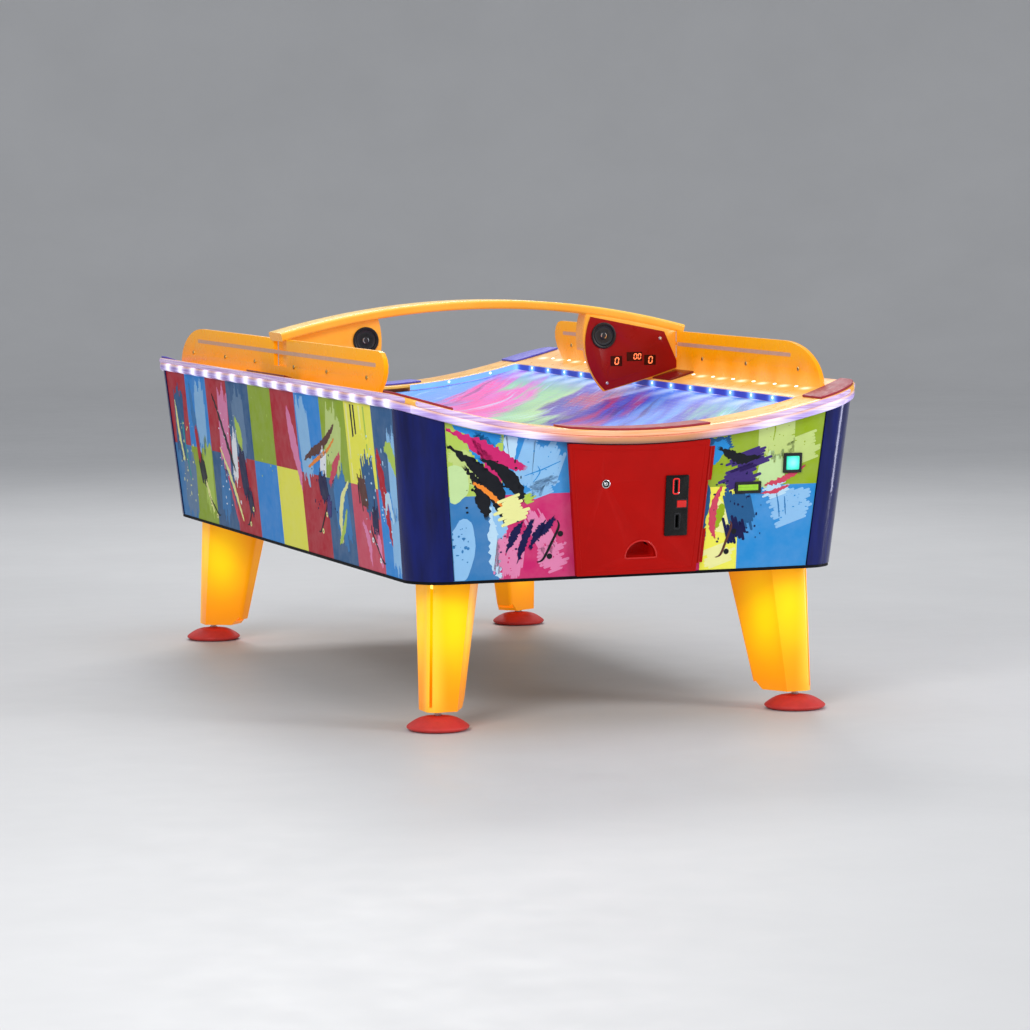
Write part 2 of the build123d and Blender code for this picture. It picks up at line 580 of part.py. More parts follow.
door += door_knuckle
# the top edge follows the underside of the light band
save("coin_door", on(NEAR, door) - cyl_y(R0 + 2.5))

body_k = along_hinge(K, V_A, V_B) + along_hinge(K, V_C, V_D)
ht = lambda v: HX0 + (HX1 - HX0) * ((v - DV0) / (DV1 - DV0))
for a, b in ((V_A, V_B), (V_C, V_D)):
    body_k += prism([(ht(a), a), (ht(a) + 16, a), (ht(b) + 16, b), (ht(b), b)], 0.0, 2.2)
body_k = body_k - box(-400, 400, -100, 600, -20, 0.0)
body_k += along_hinge(2.0, V_A + 0.5, V_D - 0.5)
save("door_hinge", on(NEAR, body_k))

# lock: barrel with a cam, free of the panel in the unlocked position
LOCK_Z0, LOCK_Z1 = -18.0, GAP + DOOR_T + 1.5
lock = Pos(LOCK_X, LOCK_V, (LOCK_Z0 + LOCK_Z1) / 2) * Cylinder(9.5, LOCK_Z1 - LOCK_Z0)
lock += Pos(LOCK_X, LOCK_V, GAP + DOOR_T + 0.3 + 1.2) * Cylinder(11.5, 2.4)
lock -= box(LOCK_X - 1, LOCK_X + 1, LOCK_V - 5, LOCK_V + 5, GAP + DOOR_T + 1.2, GAP + DOOR_T + 10)
lock += box(LOCK_X - 8, LOCK_X + 8, LOCK_V - 64, LOCK_V + 8, LOCK_Z0 - 3, LOCK_Z0)
lock += Pos(LOCK_X, LOCK_V, LOCK_Z0 - 1.5) * Cylinder(9.5, 3)
save("door_lock", on(NEAR, lock))

# coin mechanism: black plate with slot, button opening and lower slot; body behind
FZ = GAP + DOOR_T
coin = Pos(COIN_X, COIN_V, FZ) * extrude(RectangleRounded(COIN_W, COIN_H, 3), amount=4)
coin += box(COIN_X - 25, COIN_X + 25, COIN_V - 70, COIN_V + 70, FZ - 62, FZ)
coin -= box(COIN_X - 4 - 2, COIN_X - 4 + 2, COIN_V + 36, COIN_V + 66, FZ - 20, FZ + 10)
RB_X, RB_V, RB_W, RB_H = COIN_X + 13, COIN_V + 4, 26.0, 18.0
coin -= box(RB_X - RB_W / 2 - 0.3, RB_X + RB_W / 2 + 0.3, RB_V - RB_H / 2 - 0.3, RB_V + RB_H / 2 + 0.3, FZ - 14, FZ + 10)
coin -= box(COIN_X + 2 - 4, COIN_X + 2 + 4, COIN_V - 58, COIN_V - 26, FZ - 16, FZ + 10)
save("coin_mech", on(NEAR, coin))
rb = box(RB_X - RB_W / 2, RB_X + RB_W / 2, RB_V - RB_H / 2, RB_V + RB_H / 2, FZ - 6, FZ + 7)
rb = fillet(rb.edges().filter_by(Axis.Z), 1.5)
save("reject_button", on(NEAR, rb))


def cup(x, z_face, depth):
    """Half-round puck scoop behind the outlet, open in front and at the top rear."""
    outer = Pos(x, OUT_V, z_face - depth) * extrude(
        Circle(OUT_R + 3) & Pos(0, (OUT_R + 3) / 2 - 1.5) * Rectangle(2 * OUT_R + 6, OUT_R + 6), amount=depth)
    inner = Pos(x, OUT_V, z_face - depth + 3) * extrude(half_disc, amount=depth)
    s = outer - inner
    s -= box(x - OUT_R, x + OUT_R, OUT_V + 20, OUT_V + 60, z_face - depth + 3, z_face - 24)
    return s


save("puck_cup_near", on(NEAR, cup(OUT_X, GAP, 66)))
save("puck_cup_far", on(FAR, cup(OUT_X, -PANEL_T, 56)))

coin_box = box(70, 190, -1050, -880, Z_BOT + BASE_T, 500) - box(73, 187, -1047, -883, Z_BOT + BASE_T + 3, 520)
save("coin_box", coin_box)

# ------------------------------------------------ start button and small display
bez = Pos(BTN_X, BTN_V, 0) * extrude(RectangleRounded(53, 53, 2), amount=5)
bez += box(BTN_X - 19.8, BTN_X + 19.8, BTN_V - 19.8, BTN_V + 19.8, -24, 0)
bez -= box(BTN_X - 18.5, BTN_X + 18.5, BTN_V - 18.5, BTN_V + 18.5, -20, 8)
save("start_bezel", on(NEAR, bez))
cap_b = box(BTN_X - 18.1, BTN_X + 18.1, BTN_V - 18.1, BTN_V + 18.1, -14, 7.5)
cap_b = fillet(cap_b.edges().group_by(Axis.Z)[-1], 1.5)
save("start_button", on(NEAR, cap_b))

lcd = Pos(LCD_X, LCD_V, 0) * extrude(RectangleRounded(74, 31, 2), amount=4)
lcd += box(LCD_X - 30.5, LCD_X + 30.5, LCD_V - 9.5, LCD_V + 9.5, -22, 0)
lcd -= box(LCD_X - 29, LCD_X + 29, LCD_V - 8, LCD_V + 8, 2.2, 8)
save("lcd_display", on(NEAR, lcd))

# --------------------------------------------------------- mains inlet and switch
inlet = box(INLET_X - 30, INLET_X + 30, INLET_V - 40, INLET_V + 40, 0, 3)
inlet += box(INLET_X - 23.5, INLET_X + 23.5, INLET_V - 33.5, INLET_V + 33.5, -30, 0)
inlet -= box(INLET_X - 12, INLET_X + 12, INLET_V - 26, INLET_V - 8, -16, 8)
for dx, dy in ((-7, -19), (7, -19), (0, -15)):
    inlet += box(INLET_X + dx - 1, INLET_X + dx + 1, INLET_V + dy - 2, INLET_V + dy + 2, -17, -3)
SW_V = INLET_V + 18
inlet -= box(INLET_X - 10.4, INLET_X + 10.4, SW_V - 12.5, SW_V + 12.5, -16, 8)
save("mains_inlet", on(FAR, inlet))
rocker = (Pos(INLET_X, SW_V, -2) * (Rot(0, 90, 0) * Cylinder(6.5, 20))) + (Pos(INLET_X, SW_V, -2) * (Rot(10, 0, 0) * box(-10, 10, -9.5, 9.5, 0, 7)))
save("rocker_switch", on(FAR, rocker))

# ------------------------------------------------------------------- machinery
bl_z0 = Z_BOT + BASE_T + 30
SHAFT_R = 6.0
housings = []
for sy in (-1, 1):
    h = Pos(0, sy * 420, bl_z0 + 60) * Cylinder(140, 120)
    h -= Pos(0, sy * 420, bl_z0 + 60) * Cylinder(132, 112)
    h -= Pos(0, sy * 420, bl_z0) * Cylinder(70, 20)
    h -= Pos(0, sy * 420, bl_z0 + 120) * Cylinder(52, 20)
    h += Pos(0, sy * 420, (bl_z0 + 120 + PL_Z) / 2) * (Cylinder(59, PL_Z - bl_z0 - 120) - Cylinder(52, PL_Z - bl_z0 - 110))
    h += Pos(0, sy * 420, bl_z0 - 15) * (Cylinder(100, 30) - Cylinder(70, 40))
    # spider and fixed shaft that the rotor turns on
    h += box(-75, 75, sy * 420 - 8, sy * 420 + 8, bl_z0 + 1, bl_z0 + 7) + box(-8, 8, sy * 420 - 75, sy * 420 + 75, bl_z0 + 1, bl_z0 + 7)
    h += Pos(0, sy * 420, bl_z0 + 55) * Cylinder(SHAFT_R, 104)
    h += Pos(0, sy * 420, bl_z0 + 12) * Cylinder(14, 10)
    housings.append(h)
save("blower_housings", housings)
for sy, nm in ((-1, "near"), (1, "far")):
    r = Pos(0, 0, 0) * Cylinder(22, 84)
    r += Pos(0, 0, 38) * (Cylinder(110, 6) - Cylinder(22, 10))
    r += Pos(0, 0, -38) * (Cylinder(110, 6) - Cylinder(80, 10))
    for i in range(14):
        r += Rot(0, 0, i * 360 / 14) * (Pos(96, 0, 0) * (Rot(0, 0, 35) * Box(26, 2.5, 78)))
    r -= Cylinder(SHAFT_R + 0.05, 100)
    save("blower_rotor_" + nm, Pos(0, sy * 420, bl_z0 + 60) * r)

psu = Pos(0, 0, 0) * box(110, 250, -110, 90, Z_BOT + BASE_T, Z_BOT + BASE_T + 62)
psu = fillet(psu.edges().filter_by(Axis.Z), 3)
save("power_supply", psu)
ctl = box(-260, -90, -130, 110, Z_BOT + BASE_T, Z_BOT + BASE_T + 75)
ctl = fillet(ctl.edges().filter_by(Axis.Z), 4)
save("control_box", ctl)
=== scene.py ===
import bpy, bmesh, math, random
from mathutils import Vector, Matrix


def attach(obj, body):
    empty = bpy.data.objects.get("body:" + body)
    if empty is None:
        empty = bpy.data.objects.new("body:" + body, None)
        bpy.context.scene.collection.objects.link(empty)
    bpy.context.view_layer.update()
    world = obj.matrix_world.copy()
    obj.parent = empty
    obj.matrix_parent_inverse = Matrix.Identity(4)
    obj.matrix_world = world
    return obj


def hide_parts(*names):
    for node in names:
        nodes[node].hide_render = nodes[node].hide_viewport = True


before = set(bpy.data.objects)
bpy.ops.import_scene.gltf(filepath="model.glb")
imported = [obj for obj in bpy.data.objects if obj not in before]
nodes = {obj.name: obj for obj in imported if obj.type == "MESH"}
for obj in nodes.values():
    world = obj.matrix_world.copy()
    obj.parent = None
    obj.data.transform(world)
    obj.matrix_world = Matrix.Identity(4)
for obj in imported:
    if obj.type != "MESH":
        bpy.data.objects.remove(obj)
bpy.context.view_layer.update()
scene = bpy.context.scene
scene.view_settings.view_transform = "Standard"

# ------------------------------------------------------------------ sizes (metres)
WB, LB, WT, LT, ZB, ZT = .597, 1.145, .639, 1.194, .387, .839
SAG = .102
R0 = (WT ** 2 + SAG ** 2) / (2 * SAG)
ZC = ZT - SAG + R0
R_BAND = R0 - .020
R_RAIL = R0 - .035
R_FIELD = R_RAIL + .020
RAIL_W, RAIL_L, RC = .654, 1.209, .115
IN_W, IN_L = .509, 1.057
TILT = math.atan2(.049, .452)
CT, ST = math.cos(TILT), math.sin(TILT)
LEAN = math.atan2(.042, .452)
CA, SA = math.cos(LEAN), math.sin(LEAN)
SIDES = {"near": -1, "far": 1}


def zr(x, r):
    return ZC - math.sqrt(r * r - x * x)


def v_at(z):
    return (z - ZB) / CT


def NEAR(x, v, n):
    return (x, -LB - v * ST - n * CT, ZB + v * CT - n * ST)


def FAR(x, v, n):
    return (-x, LB + v * ST + n * CT, ZB + v * CT - n * ST)


def LEFT(u, v, n):
    return (-WB - v * SA - n * CA, -u, ZB + v * CA - n * SA)


def RIGHT(u, v, n):
    return (WB + v * SA + n * CA, u, ZB + v * CA - n * SA)


def rot180(p):
    return (-p[0], -p[1], p[2])


def lin(r, g, b, k=1.0):
    def f(c):
        c /= 255.0
        return (c / 12.92 if c <= .04045 else ((c + .055) / 1.055) ** 2.4) * k
    return (f(r), f(g), f(b), 1.0)


# ------------------------------------------------------------------ material graph
class Mat:
    def __init__(self, name):
        self.m = bpy.data.materials.new(name)
        self.m.use_nodes = True
        self.nt = self.m.node_tree
        self.b = self.nt.nodes["Principled BSDF"]
        self._c = None

    def new(self, t, **kw):
        n = self.nt.nodes.new(t)
        for k, v in kw.items():
            setattr(n, k, v)
        return n

    def put(self, sock, v):
        if hasattr(v, "links") or hasattr(v, "is_output"):
            self.nt.links.new(v, sock)
        else:
            sock.default_value = v

    def co(self):
        if self._c is None:
            self._c = self.new("ShaderNodeTexCoord").outputs["Object"]
        return self._c

    def xyz(self):
        n = self.new("ShaderNodeSeparateXYZ")
        self.put(n.inputs[0], self.co())
        return n.outputs[0], n.outputs[1], n.outputs[2]

    def math(self, op, a, b=None, c=None, clamp=False):
        n = self.new("ShaderNodeMath", operation=op, use_clamp=clamp)
        self.put(n.inputs[0], a)
        if b is not None:
            self.put(n.inputs[1], b)
        if c is not None:
            self.put(n.inputs[2], c)
        return n.outputs[0]

    def vec(self, loc=(0, 0, 0), rot=(0, 0, 0), scale=(1, 1, 1), src=None):
        n = self.new("ShaderNodeMapping")
        self.put(n.inputs["Vector"], src or self.co())
        n.inputs["Location"].default_value = loc
        n.inputs["Rotation"].default_value = rot
        n.inputs["Scale"].default_value = scale
        return n.outputs[0]

    def noise(self, scale, detail=3.0, rough=.55, src=None, color=False, dist=0.0):
        n = self.new("ShaderNodeTexNoise")
        self.put(n.inputs["Vector"], src or self.co())
        n.inputs["Scale"].default_value = scale
        n.inputs["Detail"].default_value = detail
        n.inputs["Roughness"].default_value = rough
        n.inputs["Distortion"].default_value = dist
        return n.outputs["Color" if color else "Fac"]

    def voronoi(self, scale, src=None, feature="F1"):
        n = self.new("ShaderNodeTexVoronoi", feature=feature)
        self.put(n.inputs["Vector"], src or self.co())
        n.inputs["Scale"].default_value = scale
        return n.outputs["Distance"]

    def ramp(self, fac, stops, interp="LINEAR"):
        n = self.new("ShaderNodeValToRGB")
        r = n.color_ramp
        r.interpolation = interp
        while len(r.elements) < len(stops):
            r.elements.new(.5)
        for e, (p, c) in zip(r.elements, stops):
            e.position = p
        for e, (p, c) in zip(r.elements, stops):
            e.color = c if len(c) == 4 else (*c, 1)
        self.put(n.inputs[0], fac)
        return n.outputs[0]

    def mix(self, fac, a, b, blend="MIX"):
        n = self.new("ShaderNodeMix", data_type="RGBA", blend_type=blend)
        self.put(n.inputs[0], fac)
        self.put(n.inputs[6], a)
        self.put(n.inputs[7], b)
        return n.outputs[2]

    def remap(self, v, a, b, c, d, clamp=True, smooth=False):
        n = self.new("ShaderNodeMapRange", clamp=clamp)
        if smooth:
            n.interpolation_type = "SMOOTHSTEP"
        for i, q in enumerate((v, a, b, c, d)):
            self.put(n.inputs[i], q)
        return n.outputs[0]

    def bump(self, h, strength=.3, dist=.001, normal=None):
        n = self.new("ShaderNodeBump")
        n.inputs["Strength"].default_value = strength
        n.inputs["Distance"].default_value = dist
        self.put(n.inputs["Height"], h)
        if normal is not None:
            self.put(n.inputs["Normal"], normal)
        return n.outputs[0]

    def set(self, **kw):
        names = {"base": "Base Color", "rough": "Roughness", "metal": "Metallic", "coat": "Coat Weight",
                 "coat_rough": "Coat Roughness", "normal": "Normal", "emit": "Emission Color",
                 "power": "Emission Strength", "sss": "Subsurface Weight", "spec": "Specular IOR Level",
                 "trans": "Transmission Weight", "sheen": "Sheen Weight", "alpha": "Alpha", "ior": "IOR"}
        for k, v in kw.items():
            self.put(self.b.inputs[names[k]], v)
        return self


def grained(name, col, var=.10, scale=22.0, rough=(.3, .42), bump=.12, bscale=420.0, coat=0.0, metal=0.0,
            emit=None, power=0.0, spec=.35, dust=0.0):
    """Moulded or painted surface: cloudy tone, uneven gloss, fine texture."""
    m = Mat(name)
    c1 = tuple(min(1, v * (1 + var)) for v in col[:3]) + (1,)
    c2 = tuple(v * (1 - var) for v in col[:3]) + (1,)
    base = m.ramp(m.noise(scale, 5.0), [(.3, c2), (.7, c1)])
    if dust:
        fleck = m.math("GREATER_THAN", m.noise(900.0, 2.0), .74)
        base = m.mix(m.math("MULTIPLY", fleck, dust), base, tuple(min(1, v * 1.6 + .03) for v in col[:3]) + (1,))
    m.set(base=base, rough=m.remap(m.noise(scale * 2.3, 4.0), .3, .7, rough[0], rough[1]),
          normal=m.bump(m.noise(bscale, 2.0), bump, .0006), coat=coat, metal=metal, spec=spec)
    m.b.inputs["Coat Roughness"].default_value = .08
    if emit is not None:
        m.set(emit=m.ramp(m.noise(scale, 3.0), [(.3, tuple(v * .85 for v in emit[:3]) + (1,)), (.7, emit)]), power=power)
    return m


# colours (sRGB triples turned to linear)
YEL = lin(250, 176, 50)
MATS = {}


def M(key):
    return MATS[key].m


MATS["door"] = grained("powder_red", lin(178, 9, 3), .06, 14, (.38, .5), .25, 700, spec=.12)
MATS["chrome"] = grained("chrome_turned", (.82, .82, .84, 1), .05, 60, (.08, .16), .05, 900, metal=1.0)
MATS["stainless"] = grained("stainless_turned", (.70, .69, .67, 1), .08, 80, (.18, .30), .10, 1200, metal=1.0)
MATS["brass"] = grained("brass_screw", (.62, .42, .16, 1), .14, 80, (.22, .34), .10, 1200, metal=1.0)
MATS["zinc"] = grained("zinc_plate", (.56, .57, .58, 1), .14, 55, (.28, .45), .15, 600, metal=1.0)
MATS["black_plastic"] = grained("black_abs", (.012, .012, .014, 1), .25, 40, (.32, .48), .25, 900)
MATS["coin_plate"] = grained("coin_plate_black", (.0045, .0050, .0050, 1), .25, 40, (.20, .32), .15, 900, spec=.25)
MATS["black_metal"] = grained("black_powder", (.015, .015, .016, 1), .2, 30, (.45, .6), .35, 700)
MATS["trim"] = grained("black_edge_trim", (.004, .004, .006, 1), .25, 30, (.5, .65), .2, 500, spec=.1)
MATS["button_red"] = grained("button_red", lin(206, 26, 22), .06, 60, (.18, .28), .05, 900, coat=.3, emit=lin(200, 20, 12), power=.18)
# the puck cup carries a faint painted glow (red emission)
MATS["cup"] = grained("cup_red", lin(186, 24, 20), .06, 12, (.26, .36), .05, 700, coat=.15, emit=lin(180, 14, 10), power=.20)
MATS["pad_red"] = grained("pad_maroon", lin(156, 40, 56), .10, 25, (.42, .58), .45, 800)
MATS["pad_blue"] = grained("pad_violet", lin(88, 82, 196), .10, 25, (.42, .58), .45, 800)
MATS["plate"] = grained("tower_plate_red", lin(120, 14, 16), .07, 20, (.25, .38), .1, 600, coat=.1)
# the score panel plates carry a faint painted glow (emission)
MATS["panel_red"] = grained("score_panel_red", lin(150, 12, 16), .08, 9, (.26, .36), .04, 600, spec=.2, coat=.04, emit=lin(120, 0, 0), power=.06)
MATS["panel_blue"] = grained("score_panel_blue", lin(22, 40, 150), .08, 9, (.22, .32), .04, 600, coat=.2, emit=lin(0, 10, 110), power=.06)
MATS["foot"] = grained("foot_rubber_red", lin(206, 56, 52), .10, 35, (.42, .58), .35, 900, dust=.25)
MATS["rotor"] = grained("rotor_nylon", (.10, .10, .11, 1), .12, 50, (.4, .55), .2, 500)
MATS["rocker"] = grained("rocker_red", lin(190, 20, 16), .06, 60, (.2, .3), .05, 900, coat=.4, emit=lin(220, 20, 10), power=.4)
MATS["speaker"] = grained("speaker_frame", (.010, .011, .012, 1), .25, 60, (.25, .4), .2, 900)
MATS["surround"] = grained("speaker_surround", (.018, .018, .020, 1), .2, 80, (.5, .65), .3, 900)
MATS["cone"] = grained("speaker_cone", (.022, .026, .030, 1), .25, 200, (.35, .5), .5, 1500)
# silver metal for the dust-cap arcs, which are a painted highlight
MATS["silver"] = grained("dust_cap_painted_highlight", (.75, .76, .78, 1), .06, 90, (.12, .2), .05, 900, metal=1.0)
MATS["stripe"] = grained("guard_stripe", lin(212, 168, 142), .06, 60, (.35, .5), .1, 900)
MATS["smoke"] = grained("smoked_window", (.050, .002, .002, 1), .25, 60, (.25, .35), .03, 900, spec=.2)
MATS["digit"] = grained("digit_glow", lin(255, 120, 70), .05, 200, (.3, .4), .02, 900, emit=lin(255, 128, 78), power=1.3)
MATS["digit_off"] = grained("digit_unlit", (.05, .008, .008, 1), .1, 200, (.25, .35), .02, 900)
MATS["lamp"] = grained("lamp_lens", lin(255, 235, 190), .05, 60, (.3, .4), .05, 900, emit=lin(255, 214, 120), power=1.5)
MATS["led_dot"] = grained("led_lens", lin(220, 232, 255), .04, 200, (.15, .25), .02, 900, emit=lin(190, 220, 255), power=4.0)
MATS["led_warm"] = grained("led_lens_rail", lin(255, 240, 225), .04, 200, (.15, .25), .02, 900, emit=lin(255, 226, 214), power=2.6)
MATS["slot_red"] = grained("slot_ring_red", lin(210, 40, 40), .06, 90, (.25, .35), .05, 900, emit=lin(230, 20, 20), power=.5)


def wood(name):
    m = Mat(name)
    v = m.vec(scale=(1, 9, 9))
    g = m.noise(9.0, 6.0, .6, src=v, dist=.4)
    ply = m.math("SINE", m.math("MULTIPLY", m.xyz()[2], 2600.0))
    base = m.ramp(g, [(.25, (.20, .125, .065, 1)), (.5, (.36, .245, .14, 1)), (.75, (.50, .37, .235, 1))])
    base = m.mix(m.remap(ply, -1, 1, 0, .14), base, (.15, .09, .05, 1))
    m.set(base=base, rough=m.remap(m.noise(60, 3), .3, .7, .5, .68), normal=m.bump(g, .25, .0015))
    return m


MATS["plywood"] = wood("birch_ply")


def guard_mat():
    m = Mat("guard_acrylic")
    x, y, z = m.xyz()
    n = m.noise(5.0, 3.0)
    zz = m.math("ADD", z, m.math("MULTIPLY", m.math("SUBTRACT", n, .5), .05))
    # painted light by height: paler at the foot, nearest the rail LEDs, and slightly paler at the top edge (painted
    # highlight)
    base = m.ramp(m.remap(zz, .815, .977, 0, 1),
                  [(0.0, lin(255, 172, 34)), (.22, lin(250, 160, 8)), (.55, lin(246, 157, 3)), (1.0, lin(250, 170, 12))])
    # light spreading up the sheet from the rail
    wave = m.math("SINE", m.math("MULTIPLY", y, 2 * math.pi / .14))
    glow_z = m.math("ADD", z, m.math("MULTIPLY", wave, -.010))
    geo = m.new("ShaderNodeNewGeometry")
    sep = m.new("ShaderNodeSeparateXYZ")
    m.put(sep.inputs[0], geo.outputs["Normal"])
    inward = m.remap(m.math("MULTIPLY", m.math("SIGN", x, 0.0), sep.outputs[0]), .3, -.3, .12, 1.0)
    glow = m.math("MULTIPLY", m.remap(glow_z, .925, .815, 0, 1, smooth=True), inward)
    base = m.mix(m.math("MULTIPLY", glow, .55), base, lin(255, 196, 120))
    # the sheet carries a painted glow all over, stronger where the painted light from the rail reaches
    m.set(base=base, rough=m.remap(m.noise(30, 4), .3, .7, .24, .36), coat=.06, spec=.15,
          emit=base, power=m.remap(glow, 0, 1, .20, .42),
          normal=m.bump(m.noise(260, 2), .03, .0006))
    m.b.inputs["Coat Roughness"].default_value = .06
    return m


MATS["guard"] = guard_mat()


def arch_mat():
    m = Mat("arch_lacquer")
    n = m.noise(7.0, 4.0)
    geo = m.new("ShaderNodeNewGeometry")
    sep = m.new("ShaderNodeSeparateXYZ")
    m.put(sep.inputs[0], geo.outputs["Normal"])
    # painted light: upward-facing faces get a paler yellow (painted highlight) and the sides a deeper amber (painted
    # shade)
    up = m.remap(sep.outputs[2], .1, .9, 0, 1)
    side = m.ramp(n, [(.3, lin(240, 160, 44)), (.7, lin(246, 176, 62))])
    top = m.ramp(n, [(.3, lin(246, 196, 84)), (.7, lin(250, 208, 102))])
    base = m.mix(up, side, top)
    # the lacquer also carries a faint painted glow, its base colour used as emission
    m.set(base=base, rough=m.remap(m.noise(26, 4), .3, .7, .2, .34), coat=.12, spec=.25, emit=base, power=.18,
          normal=m.bump(m.noise(300, 2), .05, .0006))
    m.b.inputs["Coat Roughness"].default_value = .08
    return m


MATS["arch"] = arch_mat()


def rail_mat():
    m = Mat("rail_cap_lacquer")
    x, y, z = m.xyz()
    n = m.noise(6.0, 4.0)
    base = m.ramp(n, [(.3, lin(236, 168, 62)), (.7, lin(246, 190, 92))])
    ax, ay = m.math("ABSOLUTE", x), m.math("ABSOLUTE", y)
    # glow of the light band through the outer lip
    ex = m.remap(ax, .625, .654, 0, 1, smooth=True)
    ey = m.remap(ay, 1.180, 1.209, 0, 1, smooth=True)
    lip = m.math("MAXIMUM", ex, ey)
    streak = m.noise(3.0, 3.0, src=m.vec(scale=(1.2, .5, 60)))
    base = m.mix(m.math("MULTIPLY", lip, m.remap(streak, .35, .65, .1, .55)), base, lin(240, 190, 190))
    # pools of light at the foot of the guards
    ph = m.math("SUBTRACT", m.math("FRACT", m.math("DIVIDE", m.math("ADD", y, .07), .14)), .5)
    gy = m.math("EXPONENT", m.math("MULTIPLY", m.math("MULTIPLY", ph, ph), -26.0))
    dx = m.math("SUBTRACT", ax, .573)
    gx = m.math("EXPONENT", m.math("MULTIPLY", m.math("MULTIPLY", dx, dx), -9000.0))
    mid = m.math("LESS_THAN", ay, 1.02)
    pool = m.math("MULTIPLY", m.math("MULTIPLY", gx, gy), mid)
    base = m.mix(m.math("MULTIPLY", pool, .75), base, lin(255, 232, 214))
    # painted glow of the light band: the sloping outer nose takes the band's violet, turning pinkish towards the ends
    geo = m.new("ShaderNodeNewGeometry")
    sep = m.new("ShaderNodeSeparateXYZ")
    m.put(sep.inputs[0], geo.outputs["Normal"])
    outer = m.math("MAXIMUM", m.math("GREATER_THAN", ax, .630), m.math("GREATER_THAN", ay, 1.185))
    nose = m.math("MULTIPLY", m.remap(sep.outputs[2], .80, .35, 0, 1), outer)
    end = m.math("GREATER_THAN", m.math("SUBTRACT", ay, ax), .555)
    tan = m.math("MULTIPLY", end, m.remap(ax, .16, .46, 1.0, 0.0, smooth=True))
    fine = m.noise(4.0, 4.0, .6, src=m.vec(scale=(1.6, .9, 55)))
    cool = m.ramp(fine, [(.30, lin(150, 112, 190)), (.50, lin(196, 172, 226)), (.70, lin(236, 226, 246))])
    pinkish = m.ramp(fine, [(.30, lin(220, 150, 90)), (.50, lin(244, 170, 130)), (.70, lin(252, 200, 170))])
    ncol = m.mix(tan, cool, pinkish)
    inner = m.math("MAXIMUM", m.math("MULTIPLY", m.remap(ax, .56, .509, 0, .4), m.math("LESS_THAN", ay, 1.057)), 0.0)
    base = m.mix(inner, base, lin(255, 200, 140))
    base = m.mix(m.math("MULTIPLY", nose, .88), base, ncol)
    # the cap carries a faint painted glow all over, stronger at the lip and in the painted light pools
    m.set(base=base, rough=m.remap(m.noise(24, 4), .3, .7, .24, .38), coat=.12, spec=.25,
          emit=base, power=m.math("ADD", m.math("MULTIPLY", lip, .12), m.math("ADD", m.math("MULTIPLY", pool, .8), .12)),
          normal=m.bump(m.noise(300, 2), .04, .0006))
    m.b.inputs["Coat Roughness"].default_value = .07
    return m


MATS["rail"] = rail_mat()


def band_mat():
    m = Mat("light_band_acrylic")
    x, y, z = m.xyz()
    ax, ay = m.math("ABSOLUTE", x), m.math("ABSOLUTE", y)
    end = m.math("GREATER_THAN", m.math("SUBTRACT", ay, ax), .555)

    def blobs(c, pitch, k):
        ph = m.math("SUBTRACT", m.math("FRACT", m.math("DIVIDE", c, pitch)), .5)
        return m.math("EXPONENT", m.math("MULTIPLY", m.math("MULTIPLY", ph, ph), -k))
    by, bx = blobs(m.math("ADD", y, .03), .14, 16.0), blobs(m.math("ADD", x, .05), .17, 10.0)
    led = m.math("ADD", m.math("MULTIPLY", by, m.math("SUBTRACT", 1.0, end)), m.math("MULTIPLY", m.math("MULTIPLY", bx, end), .55))
    # depth up the band, 0 underneath and 1 on top, following the concave top
    xx = m.math("MULTIPLY", x, x)
    surf = m.math("SUBTRACT", ZC, m.math("SQRT", m.math("SUBTRACT", R0 * R0, xx)))
    t = m.math("DIVIDE", m.math("SUBTRACT", z, surf), .020)
    streak = m.noise(4.0, 4.0, .6, src=m.vec(scale=(1.6, .9, 55)))
    cool = m.ramp(streak, [(.30, lin(128, 92, 176)), (.50, lin(168, 140, 214)), (.70, lin(206, 196, 240))])
    warm = m.ramp(m.noise(5.0, 4.0, .6, src=m.vec(scale=(1.3, .7, 70))), [(.30, lin(214, 150, 110)), (.5, lin(240, 190, 130)), (.72, lin(250, 214, 226))])
    top = m.remap(t, .55, .95, 0, 1, smooth=True)
    tan = m.math("MULTIPLY", end, m.remap(ax, .12, .34, 1.0, 0.0, smooth=True))
    w = m.math("MULTIPLY", top, .75)
    col = m.mix(w, cool, warm)
    wood_ = m.ramp(m.math("ADD", m.math("MULTIPLY", m.math("SUBTRACT", streak, .5), .5), t), [(.05, lin(150, 112, 82)), (.45, lin(206, 146, 84)), (.8, lin(226, 152, 96)), (.97, lin(250, 170, 150))])
    col = m.mix(m.math("MULTIPLY", tan, .92), col, wood_)
    led = m.math("MULTIPLY", led, m.math("SUBTRACT", 1.0, tan))
    col = m.mix(m.math("MULTIPLY", led, .8), col, lin(240, 240, 255))
    m.set(base=col, rough=m.remap(m.noise(40, 3), .3, .7, .2, .3), coat=.15, spec=.25, emit=col,
          power=m.math("ADD", m.math("MULTIPLY", m.math("SUBTRACT", 1.0, tan), .18), m.math("MULTIPLY", led, .75)), normal=m.bump(streak, .05, .001))
    m.b.inputs["Coat Roughness"].default_value = .05
    return m


MATS["band"] = band_mat()


def led_strip_mat():
    m = Mat("led_strip_diffuser")
    x, y, z = m.xyz()
    ph = m.math("SUBTRACT", m.math("FRACT", m.math("DIVIDE", m.math("ADD", y, .005), .14)), .5)
    blob = m.math("EXPONENT", m.math("MULTIPLY", m.math("MULTIPLY", ph, ph), -38.0))
    col = m.mix(blob, lin(36, 58, 186), lin(120, 176, 250))
    n = m.noise(40, 3)
    m.set(base=m.mix(m.remap(n, .3, .7, 0, .2), col, lin(40, 70, 180)), rough=.35, emit=col, power=m.math("ADD", .16, m.math("MULTIPLY", blob, .8)),
          normal=m.bump(m.noise(500, 2), .05, .0005))
    return m


MATS["led_strip"] = led_strip_mat()


